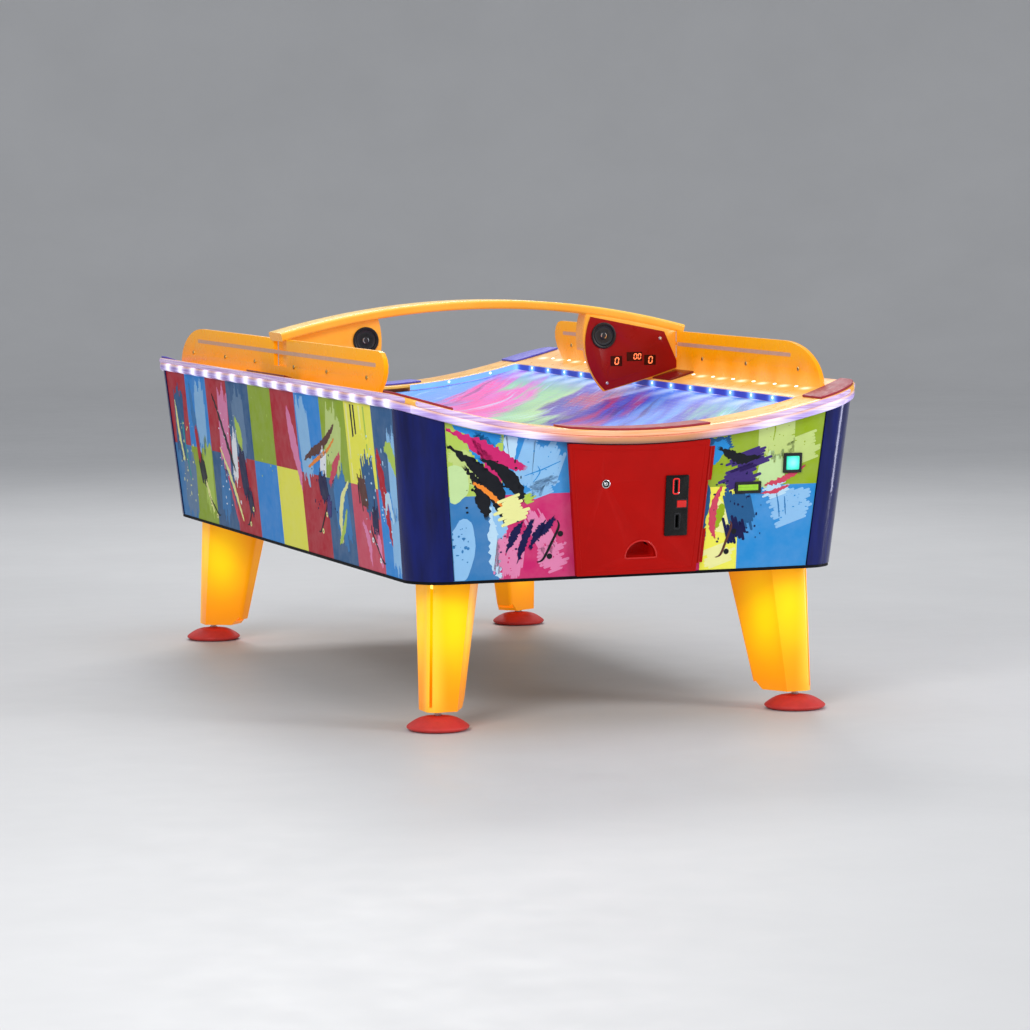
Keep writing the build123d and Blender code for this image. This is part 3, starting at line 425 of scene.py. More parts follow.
def field_mat():
    m = Mat("playfield_laminate")
    x, y, z = m.xyz()
    ax = m.math("ABSOLUTE", x)
    warp = m.noise(1.6, 3.0, .5)
    turn = m.vec(rot=(0, 0, math.radians(-54)))
    bend = m.noise(1.1, 2.0, .5, color=True)
    turn = m.mix(.07, turn, bend, "LINEAR_LIGHT")
    d = m.math("ADD", m.math("MULTIPLY", x, .829), m.math("MULTIPLY", y, -.559))
    d = m.math("ADD", d, m.math("MULTIPLY", m.math("SUBTRACT", warp, .5), .30))
    s1 = m.noise(2.1, 5.0, .62, src=m.vec(scale=(.40, 4.2, 1), src=turn))
    s2 = m.noise(3.1, 6.0, .68, src=m.vec(loc=(3, 1, 0), scale=(.45, 11.0, 1), src=turn))
    s3 = m.noise(2.2, 5.0, .66, src=m.vec(loc=(7, 4, 0), scale=(.35, 6.5, 1), src=turn))
    base = m.ramp(m.math("ADD", m.math("MULTIPLY", m.math("SUBTRACT", s1, .5), .34), m.math("ADD", m.math("MULTIPLY", d, .5), .5)), [
        (.00, lin(40, 140, 236)), (.26, lin(70, 160, 240)), (.37, lin(110, 150, 236)), (.42, lin(240, 66, 168)), (.48, lin(226, 96, 196)),
        (.52, lin(140, 200, 156)), (.59, lin(168, 216, 150)), (.63, lin(92, 58, 168)), (.66, lin(58, 56, 180)),
        (.69, lin(176, 50, 120)), (.73, lin(66, 84, 206)), (.80, lin(96, 160, 240)), (.87, lin(76, 76, 190)), (.93, lin(120, 200, 170)), (1.0, lin(90, 170, 210))])
    pale = m.math("MULTIPLY", m.remap(x, .05, -.45, 0, 1, smooth=True), m.remap(y, -.30, -.95, 0, 1, smooth=True))
    base = m.mix(m.math("MULTIPLY", pale, .6), base, m.ramp(s3, [(.40, lin(250, 160, 200)), (.50, lin(244, 244, 170)), (.60, lin(196, 230, 240))]))
    white = m.remap(s2, .56, .66, 0, .58, smooth=True)
    base = m.mix(white, base, lin(190, 220, 248))
    dark = m.remap(s3, .56, .66, 0, .62, smooth=True)
    base = m.mix(dark, base, lin(70, 40, 118))
    # light washing in from the side walls
    wash = m.remap(ax, .34, .505, 0, .62, smooth=True)
    base = m.mix(wash, base, lin(34, 84, 224))
    weave = m.math("MULTIPLY", m.math("SINE", m.math("MULTIPLY", m.math("ADD", x, y), 2 * math.pi / .0125)),
                   m.math("SINE", m.math("MULTIPLY", m.math("SUBTRACT", x, y), 2 * math.pi / .0125)))
    base = m.mix(m.remap(weave, .2, .6, 0, .12), base, lin(16, 20, 90))
    # air holes on a 25 mm grid: each is painted as a dark dot (painted shade inside the hole) with a paler ring
    # (painted highlight on a small countersink)
    fx = m.math("SUBTRACT", m.math("FRACT", m.math("DIVIDE", x, .025)), .5)
    fy = m.math("SUBTRACT", m.math("FRACT", m.math("DIVIDE", y, .025)), .5)
    r2 = m.math("SQRT", m.math("ADD", m.math("MULTIPLY", fx, fx), m.math("MULTIPLY", fy, fy)))
    hole = m.remap(r2, .085, .055, 0, 1)
    rim = m.remap(r2, .17, .12, 0, 1)
    base = m.mix(m.math("MULTIPLY", rim, .55), base, lin(176, 204, 250))
    base = m.mix(hole, base, lin(14, 18, 52))
    # painted pools of light from the wall LEDs, spaced along the walls
    led = m.math("SUBTRACT", m.math("FRACT", m.math("DIVIDE", y, .14)), .5)
    lb = m.math("EXPONENT", m.math("MULTIPLY", m.math("MULTIPLY", led, led), -12.0))
    near_wall = m.remap(ax, .40, .508, 0, 1, smooth=True)
    base = m.mix(m.math("MULTIPLY", m.math("MULTIPLY", near_wall, lb), .6), base, lin(200, 224, 255))
    # the laminate carries a faint painted glow, stronger near the walls
    m.set(base=base, rough=m.remap(m.noise(18, 4), .3, .7, .34, .46), spec=.10, emit=base,
          power=m.math("ADD", .17, m.math("MULTIPLY", near_wall, .20)),
          normal=m.bump(m.math("SUBTRACT", 1.0, rim), .35, .0006))
    m.b.inputs["Coat Roughness"].default_value = .07
    return m


MATS["field"] = field_mat()


def navy_mat():
    m = Mat("corner_profile_navy")
    x, y, z = m.xyz()
    n = m.noise(5.0, 3.0, src=m.vec(scale=(6, 6, .6)))
    base = m.ramp(n, [(.3, lin(2, 10, 62)), (.7, lin(5, 22, 98))])
    # a faint painted glow (blue emission) lifts the profile's colour
    m.set(base=base, rough=m.remap(m.noise(20, 4), .3, .7, .16, .26), coat=.34, spec=.08, emit=lin(6, 20, 160), power=.04,
          normal=m.bump(m.noise(200, 2, src=m.vec(scale=(1, 1, .05))), .05, .0008))
    m.b.inputs["Coat Roughness"].default_value = .05
    return m


MATS["navy"] = navy_mat()


def leg_mat():
    m = Mat("leg_shell_lit")
    x, y, z = m.xyz()
    ax, ay = m.math("ABSOLUTE", x), m.math("ABSOLUTE", y)
    n = m.noise(5.0, 3.0)
    # lamp inside the upper part of the leg
    dz = m.math("SUBTRACT", z, .275)
    dzz = m.math("MULTIPLY", m.math("MULTIPLY", dz, dz), 42.0)
    dx = m.math("SUBTRACT", ax, .475)
    dy = m.math("SUBTRACT", ay, 1.015)
    dd = m.math("MULTIPLY", m.math("ADD", m.math("MULTIPLY", dx, dx), m.math("MULTIPLY", dy, dy)), 95.0)
    hot = m.math("EXPONENT", m.math("MULTIPLY", m.math("ADD", dzz, dd), -1.0))
    hot = m.math("ADD", hot, m.math("MULTIPLY", m.math("SUBTRACT", n, .5), .14))
    base = m.ramp(hot, [(.05, lin(250, 140, 0)), (.30, lin(253, 160, 0)), (.55, lin(255, 186, 0)), (.85, lin(255, 218, 0))])
    # painted highlight: the rounded outer corner is painted paler, and glows paler through the emission
    corner_highlight = m.remap(m.math("ADD", ax, ay), 1.575, 1.625, 0, 1, smooth=True)
    base = m.mix(m.math("MULTIPLY", corner_highlight, .55), base, lin(255, 220, 70))
    # painted shade: darker orange towards the foot, away from the lamp
    base = m.mix(m.remap(z, .10, .045, 0, .35, smooth=True), base, lin(226, 150, 30))
    m.set(base=base, rough=m.remap(m.noise(30, 4), .3, .7, .28, .42), coat=.08, spec=.25, emit=base,
          power=m.math("ADD", .32, m.math("MULTIPLY", hot, .35)), normal=m.bump(m.noise(180, 3), .08, .001))
    m.b.inputs["Coat Roughness"].default_value = .1
    return m


MATS["leg"] = leg_mat()


def teal_mat():
    m = Mat("start_button_lens")
    x, y, z = m.xyz()
    dx = m.math("SUBTRACT", x, .443)
    dz = m.math("SUBTRACT", z, .672)
    r2 = m.math("ADD", m.math("MULTIPLY", dx, dx), m.math("MULTIPLY", dz, dz))
    g = m.math("EXPONENT", m.math("MULTIPLY", r2, -5200.0))
    col = m.mix(g, lin(36, 206, 168), lin(120, 250, 240))
    fres = m.noise(300, 2)
    m.set(base=m.mix(m.remap(fres, .3, .7, 0, .12), col, lin(30, 170, 140)), rough=.2, coat=.2, emit=col, power=m.math("ADD", .45, m.math("MULTIPLY", g, .55)),
          normal=m.bump(fres, .08, .0005))
    return m


MATS["teal"] = teal_mat()


def lcd_mat():
    m = Mat("lcd_screen")
    x, y, z = m.xyz()
    # rows of blank character cells
    cx = m.math("FRACT", m.math("DIVIDE", m.math("SUBTRACT", x, .289), .0036))
    cz = m.math("FRACT", m.math("DIVIDE", m.math("SUBTRACT", z, .603), .0075))
    cell = m.math("MULTIPLY", m.math("GREATER_THAN", cx, .16), m.math("GREATER_THAN", cz, .14))
    base = m.mix(cell, lin(120, 170, 30), lin(150, 204, 40))
    n = m.noise(70, 3)
    base = m.mix(m.remap(n, .35, .65, 0, .2), base, lin(104, 150, 24))
    m.set(base=base, rough=.25, coat=.15, emit=base, power=.25, normal=m.bump(m.noise(800, 2), .03, .0003))
    return m


MATS["lcd"] = lcd_mat()

# ------------------------------------------------------------------ printed panels
P = {"crimson": lin(182, 6, 38), "blue": lin(28, 138, 222), "green": lin(148, 176, 26), "yellow": lin(242, 240, 80),
     "steel": lin(38, 92, 142), "magenta": lin(206, 40, 110), "sky": lin(42, 142, 214), "pale_blue": lin(142, 192, 236),
     "pale_green": lin(194, 214, 130), "pink": lin(226, 132, 176), "rose": lin(206, 70, 96), "navy": lin(22, 24, 74),
     "ink": lin(26, 28, 34), "grape": lin(66, 48, 118), "white": lin(236, 240, 246), "mint": lin(196, 226, 160),
     "lime": lin(178, 206, 84), "orange": lin(246, 140, 50), "grey_blue": lin(100, 132, 168), "brown": lin(92, 52, 46),
     "ice": lin(186, 220, 244), "straw": lin(238, 238, 158), "teal": lin(40, 150, 160), "mid_blue": lin(52, 124, 186)}


def print_mat(name, axis, edges, top, low, split, sign=1.0):
    """Colour blocks in two rows under a clear laminate. edges are the block limits along x or y."""
    m = Mat(name)
    xyz = m.xyz()
    a = m.math("MULTIPLY", xyz[axis], sign)
    lo, hi = edges[0], edges[-1]
    t = m.math("DIVIDE", m.math("SUBTRACT", a, lo), hi - lo)
    stops_top = [((e - lo) / (hi - lo), P[c]) for e, c in zip(edges[:-1], top)]
    stops_low = [((e - lo) / (hi - lo), P[c]) for e, c in zip(edges[:-1], low)]
    up = m.ramp(t, stops_top, "CONSTANT")
    dn = m.ramp(t, stops_low, "CONSTANT")
    row = m.math("GREATER_THAN", xyz[2], split)
    base = m.mix(row, dn, up)
    # ink mottling, a faint dried-brush grain and the panel's gloss film
    n = m.noise(16.0, 5.0, .6)
    base = m.mix(m.remap(n, .35, .7, 0, .06), base, (.9, .9, .9, 1))
    g = m.noise(9.0, 6.0, .65, src=m.vec(rot=(.3, .2, .5), scale=(3, 3, 14)))
    base = m.mix(m.remap(g, .60, .72, 0, .05), base, (.03, .03, .05, 1))
    m.set(base=base, rough=m.remap(m.noise(40, 3), .3, .7, .34, .48), spec=.12,
          normal=m.bump(m.noise(600, 2), .05, .0005))
    return m


SPLIT = ZB + .233 * CA
SIDE_EDGES = [-1.112, -.887, -.663, -.440, -.216, .007, .231, .455, .679, .903, 1.127]
SIDE_TOP = ["crimson", "blue", "crimson", "steel", "green", "crimson", "blue", "green", "yellow", "steel"]
SIDE_LOW = ["mid_blue", "green", "steel", "crimson", "blue", "yellow", "crimson", "steel", "rose", "blue"]
MATS["print_left"] = print_mat("print_side_left", 1, SIDE_EDGES, SIDE_TOP, SIDE_LOW, SPLIT, -1.0)
MATS["print_right"] = print_mat("print_side_right", 1, SIDE_EDGES, SIDE_TOP[::-1], SIDE_LOW[::-1], SPLIT, 1.0)
END_EDGES = [-.56, -.372, -.180, .185, .290, .56]
MATS["print_near"] = print_mat("print_end_near", 0, END_EDGES, ["lime", "sky", "sky", "green", "green"],
                               ["mid_blue", "magenta", "magenta", "yellow", "sky"], ZB + .229 * CT)
MATS["print_far"] = print_mat("print_end_far", 0, [-.56, -.34, -.12, .12, .34, .56], ["green", "sky", "crimson", "blue", "lime"],
                              ["sky", "yellow", "mid_blue", "magenta", "green"], ZB + .229 * CT, -1.0)


def ink(key):
    k = "ink_" + key
    if k not in MATS:
        c = P[key]
        m = Mat("print_" + key)
        n = m.noise(22.0, 5.0, .6)
        base = m.mix(m.remap(n, .35, .7, 0, .16), c, tuple(min(1, v * 1.35 + .03) for v in c[:3]) + (1,))
        g = m.noise(12.0, 6.0, .65, src=m.vec(rot=(.3, .2, .5), scale=(3, 3, 14)))
        base = m.mix(m.remap(g, .58, .70, 0, .14), base, tuple(v * .55 for v in c[:3]) + (1,))
        m.set(base=base, rough=m.remap(m.noise(40, 3), .3, .7, .34, .48), spec=.12,
              normal=m.bump(m.noise(600, 2), .05, .0005))
        MATS[k] = m
    return MATS[k].m


# ------------------------------------------------------------------ mesh helpers
def finish_mesh(name, bm, mats, body="table", rep=(), angle=32, fix=True):
    if fix:
        bmesh.ops.recalc_face_normals(bm, faces=bm.faces[:])
    me = bpy.data.meshes.new(name)
    bm.to_mesh(me)
    bm.free()
    for mt in mats:
        me.materials.append(mt)
    for p in me.polygons:
        p.use_smooth = True
    me.set_sharp_from_angle(angle=math.radians(angle))
    o = bpy.data.objects.new(name, me)
    scene.collection.objects.link(o)
    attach(o, body)
    if rep:
        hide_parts(*rep)
    return o


def add_poly(bm, pts, faces, mi=0):
    vs = [bm.verts.new(p) for p in pts]
    out = []
    for f in faces:
        try:
            fc = bm.faces.new([vs[i] for i in f])
            fc.material_index = mi
            out.append(fc)
        except ValueError:
            pass
    return vs, out


def add_prism(bm, outline, place, n0, n1, mi=0):
    """Closed prism over a 2D outline; place(a, b, n) gives the row-frame point."""
    k = len(outline)
    area = sum(outline[i][0] * outline[(i + 1) % k][1] - outline[(i + 1) % k][0] * outline[i][1] for i in range(k))
    if area < 0:
        outline = outline[::-1]
    pts = [place(a, b, n0) for a, b in outline] + [place(a, b, n1) for a, b in outline]
    faces = [list(range(k - 1, -1, -1)), list(range(k, 2 * k))]
    faces += [[i, (i + 1) % k, k + (i + 1) % k, k + i] for i in range(k)]
    add_poly(bm, pts, faces, mi)


def add_rings(bm, rings, close_ring=True, caps=True, loop=False, mi=0):
    """Skin between equal-length rings of points."""
    vr = [[bm.verts.new(p) for p in r] for r in rings]
    n = len(vr[0])
    m = len(vr)
    for i in range(m if loop else m - 1):
        a, b = vr[i], vr[(i + 1) % m]
        for j in range(n if close_ring else n - 1):
            f = bm.faces.new([a[j], a[(j + 1) % n], b[(j + 1) % n], b[j]])
            f.material_index = mi
    if caps and not loop:
        for r, rev in ((vr[0], True), (vr[-1], False)):
            f = bm.faces.new(r[::-1] if rev else r)
            f.material_index = mi
    return vr


def bevel_copy(node, name, width, mats, segs=2, angle=30, body="table", rep=True, drop=None):
    """A copy of a CAD node's mesh with its edges rounded, standing for that node."""
    src = nodes[node]
    bm = bmesh.new()
    bm.from_mesh(src.data)
    bmesh.ops.remove_doubles(bm, verts=bm.verts[:], dist=2e-6)
    bmesh.ops.dissolve_limit(bm, angle_limit=math.radians(.6), verts=bm.verts[:], edges=bm.edges[:])
    for f in bm.faces:
        f.material_index = 0
    es = [e for e in bm.edges if len(e.link_faces) == 2 and e.calc_face_angle(0) > math.radians(angle)]
    if es and width > 0:
        bmesh.ops.bevel(bm, geom=es, offset=width, offset_type="OFFSET", segments=segs, profile=.5, affect="EDGES", clamp_overlap=True)
    bmesh.ops.remove_doubles(bm, verts=bm.verts[:], dist=1e-6)
    return finish_mesh(name, bm, mats, body, (node,) if rep else (), 28, fix=False)


def lathe(bm, profile, place, seg=64, mi=0, hexes=None):
    """Revolve (radius, height) pairs; the first and last radius is 0."""
    rings = []
    for k, (r, h) in enumerate(profile):
        if r <= 1e-7:
            rings.append(None if 0 < k < len(profile) - 1 else [(0, 0, h)])
            continue
        ring = []
        for i in range(seg):
            a = 2 * math.pi * i / seg
            rr = r
            if hexes and k in hexes:
                q = (a % (math.pi / 3)) - math.pi / 6
                rr = r * math.cos(math.pi / 6) / math.cos(q)
            ring.append((rr * math.cos(a), rr * math.sin(a), h))
        rings.append(ring)
    vr = [[bm.verts.new(place(*p)) for p in r] for r in rings if r]
    for a, b in zip(vr[:-1], vr[1:]):
        if len(a) == 1 or len(b) == 1:
            tip, ring = (a[0], b) if len(a) == 1 else (b[0], a)
            for i in range(seg):
                f = bm.faces.new([tip, ring[i], ring[(i + 1) % seg]])
                f.material_index = mi
        else:
            for i in range(seg):
                f = bm.faces.new([a[i], a[(i + 1) % seg], b[(i + 1) % seg], b[i]])
                f.material_index = mi


def paint(node, mat, slot=None):
    o = nodes[node]
    me = o.data
    if len(me.materials) == 0:
        me.materials.append(mat)
    for i in range(len(me.materials)):
        me.materials[i] = mat


# ------------------------------------------------------------------ rails
def rrect(w, l, r, nx=28, ny=30, na=12):
    pts = []

    def side(p, q, n):
        for i in range(n):
            t = i / n
            pts.append((p[0] + (q[0] - p[0]) * t, p[1] + (q[1] - p[1]) * t))

    def arc(cx, cy, a0):
        for i in range(na):
            a = a0 + math.pi / 2 * i / na
            pts.append((cx + r * math.cos(a), cy + r * math.sin(a)))
    side((w, -(l - r)), (w, l - r), ny)
    arc(w - r, l - r, 0)
    side((w - r, l), (-(w - r), l), nx)
    arc(-(w - r), l - r, math.pi / 2)
    side((-w, l - r), (-w, -(l - r)), ny)
    arc(-(w - r), -(l - r), math.pi)
    side((-(w - r), -l), (w - r, -l), nx)
    arc(w - r, -(l - r), 3 * math.pi / 2)
    return pts


def lift(pts, r):
    return [(x, y, zr(x, r)) for x, y in pts]


def outer_ring(inset, r, shrink=0.0):
    d = inset + shrink
    return lift(rrect(RAIL_W - d, RAIL_L - d, RC - d), r)


def inner_ring(out, r):
    return lift(rrect(IN_W + out, IN_L + out, .014 + out), r)


def mid_ring(t, r, shrink=0.0):
    a = rrect(RAIL_W - .006 - shrink, RAIL_L - .006 - shrink, RC - .006 - shrink)
    b = rrect(IN_W + .003, IN_L + .003, .017)
    return lift([(p[0] + (q[0] - p[0]) * t, p[1] + (q[1] - p[1]) * t) for p, q in zip(a, b)], r)


def slab(x0, x1, y0, y1, ra, rb, nx=24, ny=8):
    """Closed curved slab between two radii (ra lower)."""
    bm = bmesh.new()
    top, bot = [], []
    for j in range(ny + 1):
        y = y0 + (y1 - y0) * j / ny
        top.append([bm.verts.new((x0 + (x1 - x0) * i / nx, y, zr(x0 + (x1 - x0) * i / nx, rb))) for i in range(nx + 1)])
        bot.append([bm.verts.new((x0 + (x1 - x0) * i / nx, y, zr(x0 + (x1 - x0) * i / nx, ra))) for i in range(nx + 1)])
    for j in range(ny):
        for i in range(nx):
            bm.faces.new([top[j][i], top[j][i + 1], top[j + 1][i + 1], top[j + 1][i]])
            bm.faces.new([bot[j][i], bot[j + 1][i], bot[j + 1][i + 1], bot[j][i + 1]])
    for i in range(nx):
        bm.faces.new([top[0][i], bot[0][i], bot[0][i + 1], top[0][i + 1]])
        bm.faces.new([top[ny][i], top[ny][i + 1], bot[ny][i + 1], bot[ny][i]])
    for j in range(ny):
        bm.faces.new([top[j][0], top[j + 1][0], bot[j + 1][0], bot[j][0]])
        bm.faces.new([top[j][nx], bot[j][nx], bot[j + 1][nx], top[j + 1][nx]])
    bmesh.ops.recalc_face_normals(bm, faces=bm.faces[:])
    return bm


def cut(obj, bm_cutter):
    me = bpy.data.meshes.new("cutter")
    bm_cutter.to_mesh(me)
    bm_cutter.free()
    c = bpy.data.objects.new("cutter", me)
    scene.collection.objects.link(c)
    md = obj.modifiers.new("cut", "BOOLEAN")
    md.operation, md.object, md.solver = "DIFFERENCE", c, "EXACT"
    dg = bpy.context.evaluated_depsgraph_get()
    new = bpy.data.meshes.new_from_object(obj.evaluated_get(dg))
    obj.modifiers.clear()
    obj.data = new
    bpy.data.objects.remove(c)
    for p in new.polygons:
        p.use_smooth = True
    new.set_sharp_from_angle(angle=math.radians(32))


bm = bmesh.new()
RL, RT = R_BAND, R_RAIL
sec = [outer_ring(.004, RL), outer_ring(.0012, RL - .0012), outer_ring(0, RL - .004), outer_ring(0, RT + .006),
       outer_ring(.0018, RT + .0018), outer_ring(.006, RT)]
sec += [mid_ring(t / 8, RT) for t in range(1, 8)]
sec += [inner_ring(.003, RT), inner_ring(.0009, RT + .0009), inner_ring(0, RT + .003), inner_ring(0, RL)]
sec += [mid_ring(1 - t / 5, RL) for t in range(1, 5)]
add_rings(bm, sec, loop=True)
rail = finish_mesh("rail_cap_moulded", bm, [M("rail")], rep=("rail_cap",))
bm = bmesh.new()
s = .002
sec = [outer_ring(.004, R0, s), outer_ring(.0012, R0 - .0012, s), outer_ring(0, R0 - .004, s), outer_ring(0, RL + .004, s),
       outer_ring(.0012, RL + .0012, s), outer_ring(.004, RL, s)]
sec += [mid_ring(t / 6, RL, s) for t in range(1, 6)]
sec += [inner_ring(0, RL), inner_ring(0, R0)]
sec += [mid_ring(1 - t / 5, R0, s) for t in range(1, 5)]
add_rings(bm, sec, loop=True)
band = finish_mesh("light_band_moulded", bm, [M("band")], rep=("light_band",))
for sy in (-1, 1):
    a, b = sorted((sy * 1.118, sy * 1.037))
    cut(rail, slab(-.150, .150, a, b, R0 + .005, RT + .008))
    cut(band, slab(-.150, .150, a, b, R0 + .005, RT + .008))

bm = slab(-(IN_W - .0006), IN_W - .0006, -(IN_L - .0006), IN_L - .0006, R_FIELD + .012, R_FIELD, 96, 8)
field = finish_mesh("playfield_sheet", bm, [M("field")], rep=("playfield",), fix=False)
paint("field_led_strip", M("led_strip"))

# small lenses along the inner wall and at the foot of each guard
bm = bmesh.new()


def dome(place, r, h, mi=0, seg=20):
    lathe(bm, [(0, -.0008), (r, -.0008), (r, .0002), (r * .86, h * .55), (r * .55, h * .86), (0, h)], place, seg, mi)


ys = [-.915 + .14 * i for i in range(14)]
for sx in (-1, 1):
    zz = zr(.506, R_RAIL + .008)
    for y in ys:
        dome(lambda a, b, h, sx=sx, y=y, zz=zz: (sx * (.506 - h), y + a, zz + b), .0036, .0018)
for sy in (-1, 1):
    for x in [-.42, -.28, .28, .42]:
        zz = zr(x, R_RAIL + .008)
        dome(lambda a, b, h, sy=sy, x=x, zz=zz: (x + a, sy * (1.054 - h), zz + b), .0036, .0018)
finish_mesh("inner_led_lenses", bm, [M("led_dot")])
bm = bmesh.new()
for sx in (-1, 1):
    for i in range(14):
        y = -.91 + .14 * i
        if abs(y) < .19:
            continue
        x = sx * .579
        dome(lambda a, b, h, x=x, y=y: (x + a, y + b * 2.2, zr(x + a, R_RAIL) + h), .0042, .0016, 0, 24)
finish_mesh("guard_foot_lenses", bm, [M("led_warm")])

# ------------------------------------------------------------------ arch
ARCH_R, ARCH_T, ARCH_Z, ARCH_W, ARCH_Y = 2.377, .025, 1.077, .618, .060
bm = bmesh.new()
a_end = math.asin(ARCH_W / ARCH_R)
rb = .0075


def arch_section(inset):
    pts = []
    hw, t = ARCH_Y - inset, ARCH_T - inset
    r = max(rb - inset, .001)
    for cx, cr, a0 in ((hw - r, -r, 0), (-(hw - r), -r, 90), (-(hw - r), -(t - r), 180), (hw - r, -(t - r), 270)):
        for k in range(7):
            a = math.radians(a0 + 15 * k)
            pts.append((cx + r * math.cos(a), cr + r * math.sin(a)))
    return pts


rings = []
n = 72
for i in range(n + 1):
    a = -a_end + 2 * a_end * i / n
    ins = 0.0
    rings.append((a, arch_section(0)))
first = (-a_end, arch_section(.002))
for (a, s2), off in [((rings[0][0], arch_section(.0015)), 0)]:
    pass
skin = []
for a, s2 in rings:
    ring = []
    for yy, rr in s2:
        R = ARCH_R + rr
        ring.append((R * math.sin(a), yy, ARCH_Z - ARCH_R + R * math.cos(a)))
    skin.append(ring)
for ring in skin:
    for k, p in enumerate(ring):
        ring[k] = (max(-ARCH_W, min(ARCH_W, p[0])), p[1], p[2])
add_rings(bm, skin)
arch = finish_mesh("arch_moulded", bm, [M("arch")], rep=("arch",), angle=50)

# ------------------------------------------------------------------ guards with grey stripes
for node in ("guard_left", "guard_right"):
    bevel_copy(node, node + "_sheet", .0028, [M("guard")], 3, 40)
bm = bmesh.new()
for rot in (False, True):
    pl = rot180 if rot else (lambda p: p)
    for face, spans in ((.602, [(-.850, .850)]), (.590, [(-.850, -.068), (.068, .850)])):
        sgn = 1 if face > .6 else -1
        for y0, y1 in spans:
            ol = []
            nn = 5
            r = .0055
            for cx, cz, a0 in ((y1 - r, .9450 - r, 0), (y0 + r, .9450 - r, 90), (y0 + r, .934 + r, 180), (y1 - r, .934 + r, 270)):
                for k in range(nn):
                    a = math.radians(a0 + 90 * k / (nn - 1))
                    ol.append((cx + r * math.cos(a), cz + r * math.sin(a)))
            add_prism(bm, ol, lambda a, b, h, pl=pl, face=face, sgn=sgn: pl((face + sgn * h, a, b)), -.0004, .0005)
finish_mesh("guard_stripes", bm, [M("stripe")])

# ------------------------------------------------------------------ towers and panels
for node in ("tower_left", "tower_right"):
    bevel_copy(node, node + "_shell", .0022, [M("arch")], 3, 35)
bevel_copy("display_panel_near", "display_panel_near_plate", .0010, [M("panel_red")], 2, 35)
bevel_copy("display_panel_far", "display_panel_far_plate", .0010, [M("panel_blue")], 2, 35)
bevel_copy("tower_bases", "tower_base_plates", .0016, [M("plate")], 2, 35)
bevel_copy("rail_pads_near", "rail_pads_near_moulded", .0022, [M("pad_red")], 3, 35)
bevel_copy("rail_pads_far", "rail_pads_far_moulded", .0022, [M("pad_blue")], 3, 35)
paint("score_displays", M("smoke"))

# seven-segment digits
SEG = {"a": ((0, 1), (1, 1)), "b": ((1, 1), (1, .5)), "c": ((1, .5), (1, 0)), "d": ((1, 0), (0, 0)), "e": ((0, 0), (0, .5)),
       "f": ((0, .5), (0, 1)), "g": ((0, .5), (1, .5))}


def digit(bm, cx, cz, w, h, t, place, lit):
    for k, (p, q) in SEG.items():
        x0, z0 = cx + (p[0] - .5) * w, cz + (p[1] - .5) * h
        x1, z1 = cx + (q[0] - .5) * w, cz + (q[1] - .5) * h
        L = math.hypot(x1 - x0, z1 - z0)
        ux, uz = (x1 - x0) / L, (z1 - z0) / L
        nx_, nz = -uz, ux
        g = t * .12
        ol = [(x0 + ux * g, z0 + uz * g), (x0 + ux * (g + t / 2) + nx_ * t / 2, z0 + uz * (g + t / 2) + nz * t / 2),
              (x1 - ux * (g + t / 2) + nx_ * t / 2, z1 - uz * (g + t / 2) + nz * t / 2), (x1 - ux * g, z1 - uz * g),
              (x1 - ux * (g + t / 2) - nx_ * t / 2, z1 - uz * (g + t / 2) - nz * t / 2),
              (x0 + ux * (g + t / 2) - nx_ * t / 2, z0 + uz * (g + t / 2) - nz * t / 2)]
        ol = [(a + (b - cz) * .12, b) for a, b in ol]
        add_prism(bm, ol, place, -.0003, .0004, 0 if k in lit else 1)


bm = bmesh.new()
for rot in (False, True):
    pl = rot180 if rot else (lambda p: p)
    place = lambda a, b, h, pl=pl: pl((a, -.0625 - h, b))
    digit(bm, .4005, .894, .0105, .0185, .0032, place, "abcdef")
    digit(bm, .4585, .906, .0082, .0150, .0026, place, "abcdef")
    digit(bm, .4715, .906, .0082, .0150, .0026, place, "abcdef")
    digit(bm, .5065, .895, .0105, .0185, .0032, place, "abcdef")
finish_mesh("score_digits", bm, [M("digit"), M("digit_off")])
# dark window frames
bm = bmesh.new()
for rot in (False, True):
    pl = rot180 if rot else (lambda p: p)
    for x, z, w, h in ((.398, .894, .034, .027), (.455, .906, .046, .024), (.504, .895, .034, .027)):
        o = [(x - w / 2 - .0012, z - h / 2 - .0012), (x + w / 2 + .0012, z - h / 2 - .0012), (x + w / 2 + .0012, z + h / 2 + .0012), (x - w / 2 - .0012, z + h / 2 + .0012)]
        i_ = [(x - w / 2 + .0008, z - h / 2 + .0008), (x + w / 2 - .0008, z - h / 2 + .0008), (x + w / 2 - .0008, z + h / 2 - .0008), (x - w / 2 + .0008, z + h / 2 - .0008)]
        secs = []
        for ol, yy in ((o, -.0639), (o, -.0644), (i_, -.0644), (i_, -.0626)):
            secs.append([pl((a, yy, b)) for a, b in ol])
        add_rings(bm, secs, loop=True)
finish_mesh("score_window_frames", bm, [M("smoke")])

